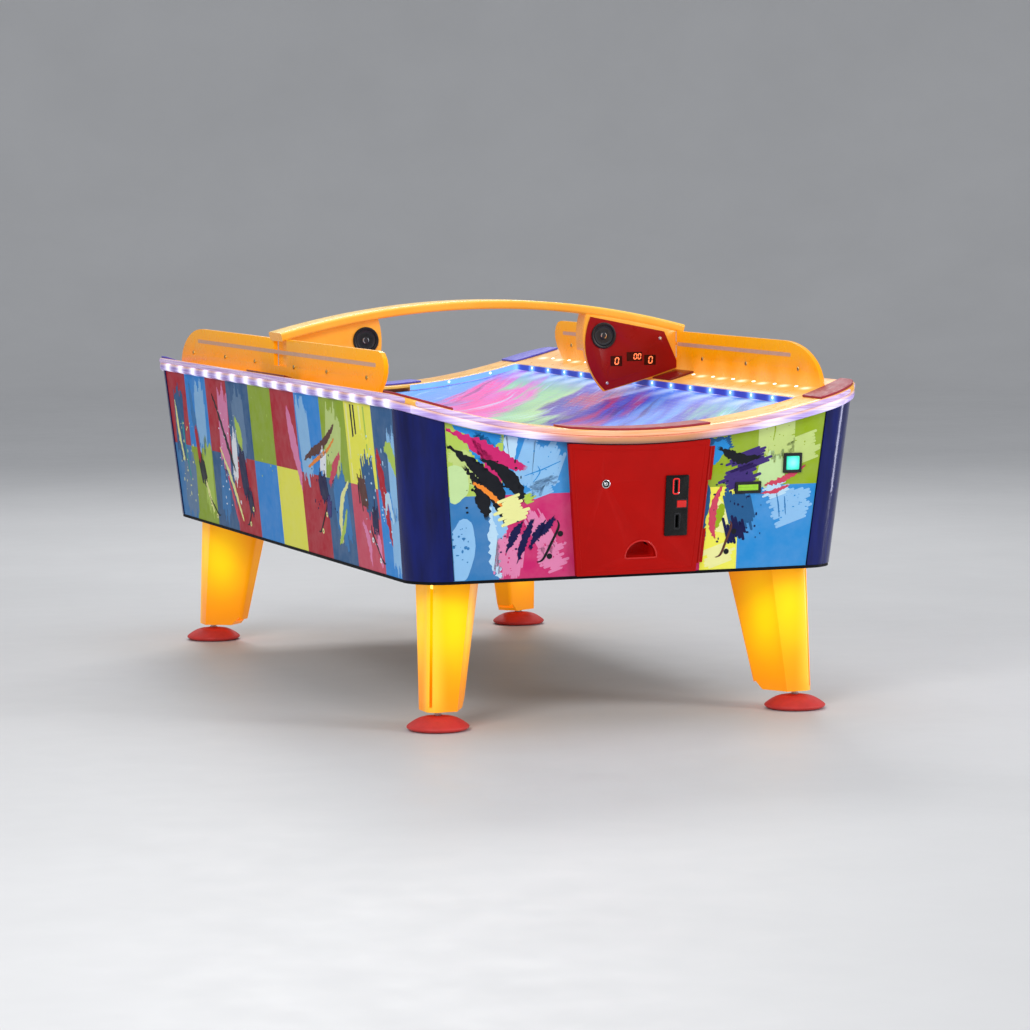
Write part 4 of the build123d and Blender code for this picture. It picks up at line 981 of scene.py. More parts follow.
# loudspeakers
bm = bmesh.new()
for rot in (False, True):
    pl = rot180 if rot else (lambda p: p)
    for face, out in ((-.064, -1), (.032, 1)):
        place = lambda a, b, h, pl=pl, face=face, out=out: pl((.358 + a, face + out * h, .969 + b * (1 if out < 0 else 1)))
        lathe(bm, [(0, -.0340), (.0195, -.0340), (.0200, -.0335), (.0200, -.0180), (.0330, -.0175), (.0330, -.0002), (.0372, .0000), (.0380, .0008),
                   (.0380, .0036), (.0372, .0048), (.0360, .0050), (.0318, .0050), (.0306, .0044), (.0302, .0030), (.0300, .0012), (0, .0012)], place, 72, 0)
        lathe(bm, [(0, .0006), (.0299, .0006), (.0299, .0014), (.0288, .0026), (.0272, .0032), (.0256, .0028), (.0244, .0016), (.0244, .0008), (0, .0008)], place, 72, 1)
        lathe(bm, [(0, .0004), (.0243, .0004), (.0243, .0014), (.0215, .0010), (.0205, .0013), (.0190, .0009), (.0180, .0012), (.0165, .0008), (.0130, .0007), (0, .0006)], place, 72, 2)
        lathe(bm, [(0, .0005), (.0120, .0005), (.0120, .0016), (.0112, .0028), (.0100, .0036), (.0080, .0040), (.0050, .0042), (0, .0042)], place, 64, 1)
        # painted highlight: two partial silver arcs on the dust cap stand in for its C-shaped reflection
        for a0, a1 in ((-70, 62), (128, 205)):
            sec = []
            for i in range(15):
                a = math.radians(a0 + (a1 - a0) * i / 14) * (1 if out < 0 else 1)
                ca_, sa_ = math.cos(a), math.sin(a)
                sec.append([place(r_ * ca_, r_ * sa_, h_) for r_, h_ in ((.0066, .0040), (.0066, .00445), (.0088, .0043), (.0092, .0038))])
            add_rings(bm, sec, mi=3)
        for k in range(4):
            a = math.radians(45 + 90 * k)
            cx, cz = .0340 * math.cos(a), .0340 * math.sin(a)
            pk = lambda p, q, h, place=place, cx=cx, cz=cz: place(cx + p, cz + q, h)
            lathe(bm, [(0, .0046), (.0016, .0046), (.0016, .00535), (.0010, .0056), (0, .0056)] if False else
                  [(0, .0044), (.0016, .0044), (.0016, .0047), (.0010, .0050), (0, .0050)], pk, 16, 4)
finish_mesh("speaker_units", bm, [M("speaker"), M("surround"), M("cone"), M("silver"), M("stainless")], rep=("speakers",))

# screw heads with hex sockets
bm = bmesh.new()


def screw(place, R, H, sock, mi=0):
    prof = [(0, -.0004), (R, -.0004), (R, H * .22), (R * .93, H * .55), (R * .78, H * .84), (R * .60, H * .97), (sock * 1.18, H), (sock, H * .92), (sock, H * .30), (0, H * .30)]
    lathe(bm, prof, place, 36, mi, hexes={7, 8})


SY = [-.900, -.555, -.250, .130, .430, .775]
for rot in (False, True):
    pl = rot180 if rot else (lambda p: p)
    for y in SY:
        screw(lambda a, b, h, pl=pl, y=y: pl((.602 + h, y + a, .903 + b)), .0065, .0030, .0024, 1)
        screw(lambda a, b, h, pl=pl, y=y: pl((.590 - h, y + a, .903 + b)), .0065, .0030, .0024, 1)
        lathe(bm, [(0, -.006), (.0031, -.006), (.0031, .006), (0, .006)], lambda a, b, h, pl=pl, y=y: pl((.596 + h, y + a, .903 + b)), 20, 0)
    for x, z in ((.537, .957), (.369, .830)):
        screw(lambda a, b, h, pl=pl, x=x, z=z: pl((x + a, -.0640 - h, z + b)), .0050, .0024, .0019)
        lathe(bm, [(0, -.006), (.0025, -.006), (.0025, .0001), (0, .0001)], lambda a, b, h, pl=pl, x=x, z=z: pl((x + a, -.0640 - h, z + b)), 20, 0)
finish_mesh("screw_heads", bm, [M("stainless"), M("brass")], rep=("screws",))

# ------------------------------------------------------------------ coin door group
bevel_copy("coin_door", "coin_door_pressed", .0015, [M("door")], 2, 40, body="coin_door")
bevel_copy("coin_mech", "coin_mech_plate", .0007, [M("coin_plate")], 2, 40, body="coin_door")
bevel_copy("reject_button", "reject_button_cap", .0010, [M("button_red")], 3, 40, body="reject_button")
bevel_copy("start_bezel", "start_bezel_frame", .0009, [M("black_plastic")], 2, 40)
paint("puck_cup_near", M("cup"))
paint("puck_cup_far", M("cup"))
paint("door_hinge", M("door"))
CX, CV, FZ = .108, v_at(.574), .0166
bm = bmesh.new()


def rect(cx, cy, w, h, r=0.0, k=5):
    if r <= 0:
        return [(cx - w / 2, cy - h / 2), (cx + w / 2, cy - h / 2), (cx + w / 2, cy + h / 2), (cx - w / 2, cy + h / 2)]
    out = []
    for sx, sy, a0 in ((1, 1, 0), (-1, 1, 90), (-1, -1, 180), (1, -1, 270)):
        for i in range(k):
            a = math.radians(a0 + 90 * i / (k - 1))
            out.append((cx + sx * (w / 2 - r) + r * math.cos(a), cy + sy * (h / 2 - r) + r * math.sin(a)))
    return out


def frame_ring(bm, cx, cy, w, h, wall, place, n0, n1, r=.002, mi=0):
    o, i_ = rect(cx, cy, w, h, r), rect(cx, cy, w - 2 * wall, h - 2 * wall, max(r - wall, .0004))
    o2 = rect(cx, cy, w - wall * .5, h - wall * .5, r)
    i2 = rect(cx, cy, w - 1.6 * wall, h - 1.6 * wall, max(r - wall, .0006))
    secs = [[place(a, b, n0) for a, b in o], [place(a, b, n1 - .0004) for a, b in o], [place(a, b, n1) for a, b in o2],
            [place(a, b, n1) for a, b in i2], [place(a, b, n1 - .0004) for a, b in i_], [place(a, b, n0) for a, b in i_]]
    add_rings(bm, secs, loop=True, mi=mi)


# raised surrounds: coin slot in red, lower slot in black, silver rivets, button frame
frame_ring(bm, CX - .004, CV + .051, .019, .043, .0032, NEAR, FZ + .0038, FZ + .0054, .006, 0)
frame_ring(bm, CX + .002, CV - .042, .018, .044, .0030, NEAR, FZ + .0038, FZ + .0052, .004, 1)
frame_ring(bm, CX + .013, CV + .004, .033, .025, .0030, NEAR, FZ + .0038, FZ + .0052, .003, 1)
finish_mesh("coin_slot_surrounds", bm, [M("slot_red"), M("black_plastic")], body="coin_door")
bm = bmesh.new()
for x, v, r in ((CX + .004, CV + .033, .0026),):
    lathe(bm, [(0, .0036), (r, .0036), (r, .0044), (r * .8, .0050), (r * .4, .0054), (0, .0055)],
          lambda a, b, h, x=x, v=v: NEAR(x + a, v + b, FZ + h), 20, 0)
finish_mesh("coin_plate_rivets", bm, [M("stainless")], body="coin_door")
# pressed edge of the door: a narrow raised bead just inside its outline, and a lip round the puck outlet
bm = bmesh.new()
d0, d1 = v_at(.397), v_at(.744)
arc = []
for i in range(25):
    x = -.186 + .372 * i / 24
    arc.append((x, (zr(x, R0 + .0025) - ZB) / CT - .012))
out_pts = [(-.152, d0 + .011), (.160, d0 + .011)] + [(x, v) for x, v in reversed(arc)]


def tube(bm, pts, r, place, n, closed=True, seg=8, mi=0):
    k = len(pts)
    rings = []
    for i, (a, b) in enumerate(pts):
        p0, p1 = pts[i - 1] if (closed or i) else pts[i], pts[(i + 1) % k] if (closed or i < k - 1) else pts[i]
        dx, dy = p1[0] - p0[0], p1[1] - p0[1]
        L = math.hypot(dx, dy) or 1
        nx_, ny_ = -dy / L, dx / L
        rings.append([place(a + nx_ * r * math.cos(2 * math.pi * j / seg), b + ny_ * r * math.cos(2 * math.pi * j / seg), n + r * .55 * math.sin(2 * math.pi * j / seg)) for j in range(seg)])
    add_rings(bm, rings, loop=closed, mi=mi)


def dense(pts, step=.01, closed=True):
    out = []
    k = len(pts)
    for i in range(k if closed else k - 1):
        p, q = pts[i], pts[(i + 1) % k]
        m_ = max(1, int(math.hypot(q[0] - p[0], q[1] - p[1]) / step))
        for j in range(m_):
            out.append((p[0] + (q[0] - p[0]) * j / m_, p[1] + (q[1] - p[1]) * j / m_))
    if not closed:
        out.append(pts[-1])
    return out


tube(bm, dense(out_pts), .0016, NEAR, FZ)
finish_mesh("door_bead", bm, [M("door")], body="coin_door")
for nm, place, body, lift_n in (("near", NEAR, "coin_door", FZ), ("far", FAR, "table", 0.0)):
    bm = bmesh.new()
    vo = v_at(.440)
    ol = [(.013 + .0445 * math.cos(math.pi * i / 30), vo + .0445 * math.sin(math.pi * i / 30)) for i in range(31)]
    ol += [(.013 - .0445 + .089 * i / 12, vo - .0015) for i in range(1, 12)]
    tube(bm, ol, .0022, place, lift_n + .0004, True, 10)
    finish_mesh("puck_outlet_lip_" + nm, bm, [M("cup")], body=body)

# lock: turned ring, plug and key slot
bm = bmesh.new()
LX, LV = -.092, v_at(.637)
lathe(bm, [(0, -.0178), (.0095, -.0178), (.0095, .0168), (.0113, .0169), (.0115, .0175), (.0112, .0186), (.0104, .0192), (.0096, .0193), (.0092, .0188),
           (.0090, .0181), (.0088, .0172), (0, .0172)], lambda a, b, h: NEAR(LX + a, LV + b, h), 64, 0)
lathe(bm, [(0, .0170), (.0087, .0170), (.0087, .0177), (.0052, .0177), (0, .0177)], lambda a, b, h: NEAR(LX + a, LV + b, h), 64, 1)
lathe(bm, [(0, .0172), (.0050, .0172), (.0050, .0181), (.0046, .0184), (0, .0184)], lambda a, b, h: NEAR(LX + a, LV + b, h), 48, 0)
add_prism(bm, rect(LX, LV, .0018, .0066, .0006), NEAR, .0181, .0185, 1)
add_prism(bm, rect(LX, LV - .028, .0160, .0720, .006), NEAR, -.0210, -.0180, 0)
finish_mesh("door_lock_barrel", bm, [M("chrome"), M("black_plastic")], body="door_lock", rep=("door_lock",))

# start button lens with a raised inner square
bm = bmesh.new()
BX, BV = .443, v_at(.672)
secs = []
for hw, h in ((.0181, -.014), (.0181, .0055), (.0178, .0066), (.0170, .0073), (.0160, .0075), (.0150, .0073), (.0143, .0068), (.0138, .0068), (.0010, .0072)):
    secs.append([NEAR(a, b, h) for a, b in rect(BX, BV, 2 * hw, 2 * hw, min(.003, hw * .6))])
add_rings(bm, secs)
finish_mesh("start_button_lens", bm, [M("teal")], body="start_button", rep=("start_button",))

# liquid crystal display: dark case with a lit window
bevel_copy("lcd_display", "lcd_case", .0007, [M("black_plastic")], 2, 40)
bm = bmesh.new()
LCX, LCV = .318, v_at(.6105)
add_prism(bm, rect(LCX, LCV, .0576, .0156, .0006), NEAR, .0018, .0030)
finish_mesh("lcd_screen", bm, [M("lcd")])

# far panel: inlet and rocker
bevel_copy("mains_inlet", "mains_inlet_case", .0005, [M("black_plastic")], 2, 40)
paint("rocker_switch", M("rocker"))

# ------------------------------------------------------------------ legs and feet
for nm in ("near_left", "near_right", "far_left", "far_right"):
    sx, sy = (-1 if "left" in nm else 1), (-1 if "near" in nm else 1)
    paint("leg_" + nm, M("leg"))
    fx, fy = sx * .509, sy * 1.050
    bm = bmesh.new()
    prof = [(0, .0004), (.050, .0004), (.052, .0000), (.0640, .0000), (.0705, .0009), (.0765, .0030), (.0805, .0060), (.0820, .0090), (.0817, .0108), (.0800, .0128)]
    for i in range(1, 15):
        t = i / 15
        r = .0800 + (.0300 - .0800) * t
        prof.append((r, .0128 + (.0352 - .0128) * math.sin(t * math.pi / 2) ** .92))
    prof += [(.0296, .0352), (.0280, .0343), (.0264, .0352), (.0235, .0362), (.0170, .0376), (.0150, .0380), (.0118, .0380), (.0108, .0374), (.0100, .0360), (0, .0360)]
    lathe(bm, prof, lambda a, b, h, fx=fx, fy=fy: (fx + a, fy + b, h), 96, 0)
    # one shallow groove runs round the top of the pad
    finish_mesh("foot_pad_moulded_" + nm, bm, [M("foot")], body="foot_" + nm, rep=("foot_pad_" + nm,), angle=40)
    bm = bmesh.new()
    rings = []
    z0, z1, pitch, seg = .0445, .1290, .0020, 36
    rings.append([(fx + .0076 * math.cos(2 * math.pi * j / seg), fy + .0076 * math.sin(2 * math.pi * j / seg), .0262) for j in range(seg)])
    rings.append([(fx + .0078 * math.cos(2 * math.pi * j / seg), fy + .0078 * math.sin(2 * math.pi * j / seg), z0 - .001) for j in range(seg)])
    k = int((.0780 - z0) / (pitch / 6))
    for i in range(k + 1):
        z = z0 + i * pitch / 6
        rings.append([])
        for j in range(seg):
            a = 2 * math.pi * j / seg
            q = (z / pitch - j / seg) % 1.0
            rr = .00735 + .00062 * (1 - abs(2 * q - 1))
            rings[-1].append((fx + rr * math.cos(a), fy + rr * math.sin(a), z))
    rings.append([(fx + .0078 * math.cos(2 * math.pi * j / seg), fy + .0078 * math.sin(2 * math.pi * j / seg), z1) for j in range(seg)])
    add_rings(bm, rings)
    lathe(bm, [(0, .0393), (.0102, .0393), (.0109, .0398), (.0110, .0404), (.0110, .0408), (.0108, .0414), (.0100, .0418), (0, .0418)],
          lambda a, b, h, fx=fx, fy=fy: (fx + a, fy + b, h), 48, 0, hexes={1, 2, 3, 4, 5, 6})
    finish_mesh("foot_stem_threaded_" + nm, bm, [M("zinc")], body="foot_" + nm, rep=("foot_stem_" + nm,), angle=40)

# ------------------------------------------------------------------ carried-over nodes
for nd, mt in {"base_board": "plywood", "plenum_box": "plywood", "field_ribs": "plywood", "bearers": "plywood", "bottom_trim": "trim",
               "goal_boxes": "black_metal", "coin_box": "black_metal", "leg_hardware": "zinc", "blower_housings": "zinc",
               "power_supply": "zinc", "control_box": "zinc", "leg_lamps": "lamp", "blower_rotor_near": "rotor",
               "blower_rotor_far": "rotor", "corner_profiles": "navy", "side_panel_left": "print_left",
               "side_panel_right": "print_right", "end_panel_near": "print_near", "end_panel_far": "print_far"}.items():
    paint(nd, M(mt))

# ------------------------------------------------------------------ printed brush marks
rnd = random.Random(7)


def spline(pts, n):
    out = []
    k = len(pts)
    for i in range(k - 1):
        p0, p1, p2, p3 = pts[max(i - 1, 0)], pts[i], pts[i + 1], pts[min(i + 2, k - 1)]
        for j in range(n):
            t = j / n
            out.append(tuple(.5 * (2 * p1[d] + (p2[d] - p0[d]) * t + (2 * p0[d] - 5 * p1[d] + 4 * p2[d] - p3[d]) * t * t
                                   + (-p0[d] + 3 * p1[d] - 3 * p2[d] + p3[d]) * t ** 3) for d in range(len(p1))))
    out.append(tuple(pts[-1]))
    return out


def stroke(pts, rag=.003, bristle=.02, n=9):
    """pts: (u, v, half width) in metres; a brush stroke with ragged sides and split ends."""
    c = spline(pts, n)
    L, R = [], []
    for i, (u, v, w) in enumerate(c):
        a, b = c[max(i - 1, 0)], c[min(i + 1, len(c) - 1)]
        dx, dy = b[0] - a[0], b[1] - a[1]
        q = math.hypot(dx, dy) or 1
        nx_, ny_ = -dy / q, dx / q
        w1, w2 = max(.0008, w + rnd.uniform(-rag, rag)), max(.0008, w + rnd.uniform(-rag, rag))
        L.append((u + nx_ * w1, v + ny_ * w1))
        R.append((u - nx_ * w2, v - ny_ * w2))

    def tips(p, q, d):
        out = []
        m_ = 5
        for i in range(1, m_ * 2):
            t = i / (m_ * 2)
            e = bristle * (rnd.uniform(.5, 1.0) if i % 2 else rnd.uniform(0, .2))
            out.append((p[0] + (q[0] - p[0]) * t + d[0] * e, p[1] + (q[1] - p[1]) * t + d[1] * e))
        return out

    def unit(p, q):
        l = math.hypot(q[0] - p[0], q[1] - p[1]) or 1
        return ((q[0] - p[0]) / l, (q[1] - p[1]) / l)
    end = tips(L[-1], R[-1], unit(c[-3], c[-1])) if bristle else []
    start = tips(R[0], L[0], unit(c[2], c[0])) if bristle else []
    return L + end + R[::-1] + start


def patch(cx, cy, w, h, lean=0.0, jag=.012, rows=26, power=.35, rot=None):
    """A dry-brushed patch: side-by-side bristle marks whose ends start and stop unevenly."""
    tall = h > w
    ln, wd = (h, w) if tall else (w, h)
    if rot is None:
        rot = (math.pi / 2 - math.atan2(lean, h)) if tall else .32
    ca, sa = math.cos(rot), math.sin(rot)
    rows = max(7, int(rows * .62))
    ph = [rnd.uniform(0, 6.28) for _ in range(4)]
    right, left = [], []
    for j in range(rows):
        t = (j + .5) / rows
        hl = ln / 2 * (.55 + .45 * math.sin(math.pi * t) ** power)
        y0, y1 = -wd / 2 + wd * (j + .04) / rows, -wd / 2 + wd * (j + .90) / rows
        ym = (y0 + y1) / 2
        a_ = -hl + ln * .07 * math.sin(5 * t * math.pi + ph[0]) + rnd.uniform(-jag, jag) * 1.3
        b_ = hl + ln * .07 * math.sin(4 * t * math.pi + ph[1]) + rnd.uniform(-jag, jag) * 1.3
        right += [(b_ - jag * .25, y0), (b_, ym), (b_ - jag * .25, y1)]
        left += [(a_ + jag * .25, y0), (a_, ym), (a_ + jag * .25, y1)]
        if j < rows - 1:
            gy = y1 + wd * .05 / rows
            right.append((b_ - rnd.uniform(.5, 1.6) * jag, gy))
            left.append((a_ + rnd.uniform(.5, 1.6) * jag, gy))
    return [(cx + x * ca - y * sa, cy + x * sa + y * ca) for x, y in right + left[::-1]]


def blob(cx, cy, rx, ry, wob=.12, n=56):
    ph = [rnd.uniform(0, 6.28) for _ in range(6)]
    am = [wob / (k + 1) for k in range(6)]
    out = []
    for i in range(n):
        a = 2 * math.pi * i / n
        r = 1 + sum(am[k] * math.sin((k + 2) * a + ph[k]) for k in range(6)) + rnd.uniform(-.012, .012)
        out.append((cx + rx * r * math.cos(a), cy + ry * r * math.sin(a)))
    return out


class Decals:
    def __init__(self, name, place, limits):
        self.name, self.place, self.lim = name, place, limits
        self.bm = bmesh.new()
        self.keys = []

    def add(self, outline, key, level=1):
        if key not in self.keys:
            self.keys.append(key)
        clipped = []
        for a, b in outline:
            a, b = self.lim(a, b)
            if not clipped or math.hypot(a - clipped[-1][0], b - clipped[-1][1]) > 1e-5:
                clipped.append((a, b))
        if len(clipped) > 2 and math.hypot(clipped[0][0] - clipped[-1][0], clipped[0][1] - clipped[-1][1]) < 1e-5:
            clipped.pop()
        if len(clipped) < 3:
            return
        add_prism(self.bm, clipped, self.place, -.0003, .00012 + .00011 * level, self.keys.index(key))

    def dots(self, cx, cy, w, h, n, key, level=1, r0=.0012, r1=.0045):
        for _ in range(n):
            x, y = cx + rnd.uniform(-w / 2, w / 2), cy + rnd.uniform(-h / 2, h / 2)
            r = rnd.uniform(r0, r1)
            st = rnd.uniform(.6, 1.6)
            k = 8
            self.add([(x + r * st * math.cos(2 * math.pi * i / k), y + r / st * math.sin(2 * math.pi * i / k)) for i in range(k)], key, level)

    def board(self, cx, cy, ln, ang, key, level=5, wheels="straw"):
        """Side view of a plain skateboard: kicked deck, trucks and wheels."""
        ca, sa = math.cos(ang), math.sin(ang)

        def tr(p):
            return (cx + p[0] * ca - p[1] * sa, cy + p[0] * sa + p[1] * ca)
        c = [(-ln / 2, .012, .0022), (-ln * .38, .001, .0030), (0, 0, .0032), (ln * .38, .001, .0030), (ln / 2, .012, .0022)]
        top = spline(c, 6)
        up = [(p[0], p[1] + p[2]) for p in top]
        dn = [(p[0], p[1] - p[2]) for p in top]
        self.add([tr(p) for p in up + dn[::-1]], key, level)
        for s_ in (-1, 1):
            self.add([tr((s_ * ln * .27 + .0075 * math.cos(2 * math.pi * i / 16), -.0115 + .0075 * math.sin(2 * math.pi * i / 16))) for i in range(16)], wheels, level + 1)
            self.add([tr((s_ * ln * .27 + .0028 * math.cos(2 * math.pi * i / 10), -.0115 + .0028 * math.sin(2 * math.pi * i / 10))) for i in range(10)], "ink", level + 2)

    def done(self):
        return finish_mesh(self.name, self.bm, [ink(k) for k in self.keys], angle=40)


def lim_side(u, v):
    v = max(.0095, min(.4475, v))
    z = ZB + v * CA
    lm = LB + (LT - LB) * (z - ZB) / (ZT - ZB) - .1045
    return max(-lm, min(lm, u)), v


def lim_end(x, v):
    z = ZB + v * CT
    wm = WB + (WT - WB) * (z - ZB) / (ZT - ZB) - .1045
    x = max(-wm, min(wm, x))
    return x, max(.0095, min((zr(x, R0) - ZB) / CT - .0015, v))


def lim_far(x, v):
    return lim_end(x, v)


def side_art(name, place, flip):
    d = Decals(name, place, lim_side)
    f = -1 if flip else 1

    def U(o):
        return [(f * a, b) for a, b in o]
    # far group: tall dry-brush marks over the blocks
    d.add(U(patch(-.985, .30, .10, .22, .02, .010, 22)), "steel", 1)
    d.add(U(stroke([(-1.02, .36, .004), (-1.005, .27, .010), (-.975, .19, .007)], .003, .012)), "straw", 3)
    d.add(U(stroke([(-.96, .30, .005), (-.945, .22, .009), (-.92, .13, .006)], .003, .012)), "teal", 2)
    d.add(U(stroke([(-.84, .42, .006), (-.825, .33, .020), (-.79, .24, .016)], .004, .016)), "mid_blue", 2)
    d.add(U(patch(-.745, .33, .11, .20, .02, .012, 22)), "pale_blue", 1)
    d.add(U(patch(-.803, .235, .034, .12, -.02, .008, 16)), "crimson", 3)
    d.add(U(patch(-.775, .165, .062, .085, -.03, .010, 14)), "ink", 4)
    d.add(U(patch(-.715, .155, .09, .22, .02, .012, 22)), "lime", 1)
    d.add(U(stroke([(-.75, .13, .008), (-.725, .09, .010), (-.70, .05, .005)], .003, .010)), "straw", 5)
    d.board(f * -.685, .060, .115, f * -.55, "ink", 5)
    d.add(U(patch(-.925, .11, .13, .20, .02, .012, 22)), "grey_blue", 1)
    d.dots(f * -.93, .18, .16, .26, 30, "straw", 4)
    # second group: crossing diagonals
    d.add(U(patch(-.500, .30, .10, .26, .03, .012, 26)), "pink", 1)
    d.add(U(patch(-.335, .33, .12, .20, -.01, .012, 24)), "grey_blue", 1)
    d.add(U(stroke([(-.59, .40, .005), (-.53, .33, .008), (-.47, .25, .010), (-.42, .19, .006)], .003, .014)), "ink", 3)
    d.add(U(stroke([(-.555, .24, .004), (-.49, .18, .008), (-.44, .12, .009), (-.39, .05, .006)], .003, .014)), "straw", 4)
    d.add(U(patch(-.412, .225, .050, .150, .02, .010, 20)), "white", 3)
    d.add(U(stroke([(-.37, .34, .010), (-.345, .30, .026), (-.335, .26, .014)], .004, .012)), "lime", 4)
    d.add(U(patch(-.335, .185, .066, .150, -.03, .010, 20)), "navy", 5)
    d.add(U(patch(-.290, .110, .050, .075, -.02, .008, 12)), "navy", 5)
    d.add(U(patch(-.545, .12, .09, .17, .03, .012, 20)), "mid_blue", 1)
    d.add(U(stroke([(-.50, .16, .004), (-.465, .10, .010), (-.43, .03, .006)], .003, .012)), "rose", 3)
    d.board(f * -.300, .070, .115, f * .85, "ink", 6)
    d.dots(f * -.47, .22, .20, .30, 36, "white", 4)
    # third group: a sweeping ribbon over broad dabs
    d.add(U(stroke([(.160, .40, .010), (.185, .33, .028), (.225, .24, .018), (.235, .19, .006)], .005, .016)), "pink", 2)
    d.add(U(patch(.300, .33, .10, .22, -.02, .014, 26)), "pale_blue", 1)
    d.add(U(patch(.560, .34, .13, .17, .05, .012, 22)), "pale_green", 1)
    d.add(U(stroke([(.500, .22, .008), (.545, .26, .016), (.60, .30, .008)], .004, .014)), "rose", 3)
    d.add(U(stroke([(.290, .272, .004), (.350, .292, .011), (.430, .312, .013), (.510, .345, .010), (.570, .378, .004)], .003, .014)), "brown", 4)
    d.add(U(stroke([(.320, .252, .003), (.400, .278, .006), (.500, .310, .005), (.560, .340, .003)], .002, .010)), "orange", 5)
    d.add(U(patch(.452, .272, .052, .070, .02, .009, 12)), "white", 5)
    d.add(U(patch(.432, .205, .072, .080, -.02, .010, 14)), "navy", 6)
    d.add(U(patch(.470, .150, .034, .055, .02, .007, 10)), "grape", 6)
    d.dots(f * .44, .23, .20, .18, 26, "navy", 6, .0010, .0036)
    d.board(f * .410, .112, .130, f * .78, "ink", 7)
    d.add(U(patch(.585, .16, .12, .20, -.02, .014, 24)), "mid_blue", 1)
    d.add(U(stroke([(.655, .23, .005), (.600, .19, .012), (.565, .13, .014), (.560, .07, .006)], .004, .014)), "straw", 3)
    d.add(U(stroke([(.620, .15, .004), (.585, .10, .010), (.540, .06, .006)], .003, .012)), "lime", 4)
    # fourth group, beside the near corner: drips and layered dabs
    for uu, ln in ((.700, .20), (.738, .26), (.762, .17), (.808, .22), (.845, .16)):
        d.add(U(stroke([(uu, .447, .006), (uu + .003, .447 - ln * .5, .005), (uu + .006, .447 - ln, .0035)], .0008, .006)), "straw" if uu in (.700, .808) else "ink" if uu in (.738, .762) else "lime", 2)
    d.add(U(patch(.790, .31, .14, .13, 0, .010, 18)), "yellow", 3)
    d.add(U(patch(.838, .235, .100, .165, -.02, .013, 22)), "steel", 4)
    d.add(U(patch(.782, .215, .060, .095, -.02, .010, 14)), "brown", 5)
    d.add(U(patch(.862, .150, .050, .080, .01, .010, 12)), "navy", 5)
    d.add(U(stroke([(.930, .33, .010), (.945, .26, .024), (.965, .18, .018), (.985, .10, .006)], .005, .016)), "crimson", 3)
    d.add(U(stroke([(.955, .17, .004), (.985, .22, .014), (1.01, .16, .008)], .004, .014)), "ice", 4)
    d.add(U(patch(1.045, .28, .07, .22, .01, .012, 26)), "pale_blue", 1)
    d.add(U(patch(1.02, .10, .07, .16, .01, .012, 22)), "pale_blue", 1)
    d.add(U(stroke([(.995, .345, .006), (1.03, .34, .026), (1.07, .29, .012)], .004, .014)), "lime", 2)
    d.add(U(stroke([(.760, .13, .006), (.790, .09, .014), (.800, .03, .006)], .004, .014)), "pink", 2)
    d.add(U(stroke([(.865, .12, .010), (.880, .08, .014), (.885, .03, .006)], .003, .010)), "pink", 5)
    d.dots(f * .88, .22, .26, .30, 40, "ice", 6)
    d.dots(f * -.10, .30, .16, .24, 8, "lime", 1)
    d.board(f * .860, .075, .130, f * -.80, "ink", 7, "white")
    return d.done()


side_art("print_marks_left", LEFT, False)
side_art("print_marks_right", RIGHT, True)

d = Decals("print_marks_near", NEAR, lim_end)
# left of the door: soft clouds of colour behind
d.add(stroke([(-.500, .425, .020), (-.455, .400, .022), (-.415, .385, .030), (-.385, .380, .014)], .004, .014), "sky", 1)
d.add(stroke([(-.455, .375, .024), (-.420, .345, .030), (-.388, .330, .018)], .004, .014), "sky", 1)
d.add(blob(-.505, .262, .040, .052, .08), "mint", 2)
d.add(stroke([(-.515, .335, .012), (-.480, .320, .026), (-.440, .265, .020)], .005, .014), "pale_green", 1)
d.add(stroke([(-.350, .400, .014), (-.352, .360, .018), (-.350, .305, .008)], .003, .010), "ice", 2)
d.add(patch(-.272, .305, .125, .135, .045, .012, 22), "pale_blue", 1)
d.add(patch(-.262, .245, .090, .045, .0, .014, 8), "pale_blue", 1)
d.add(stroke([(-.310, .278, .001), (-.265, .292, .0016), (-.215, .312, .001)], .0004, .004), "sky", 2)
d.add(stroke([(-.285, .262, .001), (-.270, .285, .0014), (-.275, .300, .001)], .0004, .004), "sky", 2)
d.dots(-.265, .320, .10, .09, 12, "sky", 2, .0008, .0022)
d.add(blob(-.478, .088, .036, .086, .07), "pale_blue", 1)
d.dots(-.485, .105, .05, .11, 26, "mid_blue", 2, .0010, .0045)
d.add(stroke([(-.400, .195, .006), (-.392, .130, .012), (-.385, .060, .013), (-.372, .015, .006)], .005, .014), "ice", 1)
d.add(stroke([(-.395, .200, .006), (-.370, .155, .018), (-.372, .120, .006)], .004, .012), "pale_blue", 2)
d.add(patch(-.345, .075, .080, .115, .01, .012, 22), "pink", 1)
d.add(patch(-.262, .130, .055, .120, -.07, .014, 24), "pink", 1)
d.add(patch(-.225, .060, .075, .075, -.06, .012, 16), "pink", 1)
d.dots(-.340, .075, .07, .10, 16, "magenta", 2, .0010, .0028)
d.dots(-.230, .065, .07, .08, 9, "magenta", 2, .0010, .0032)
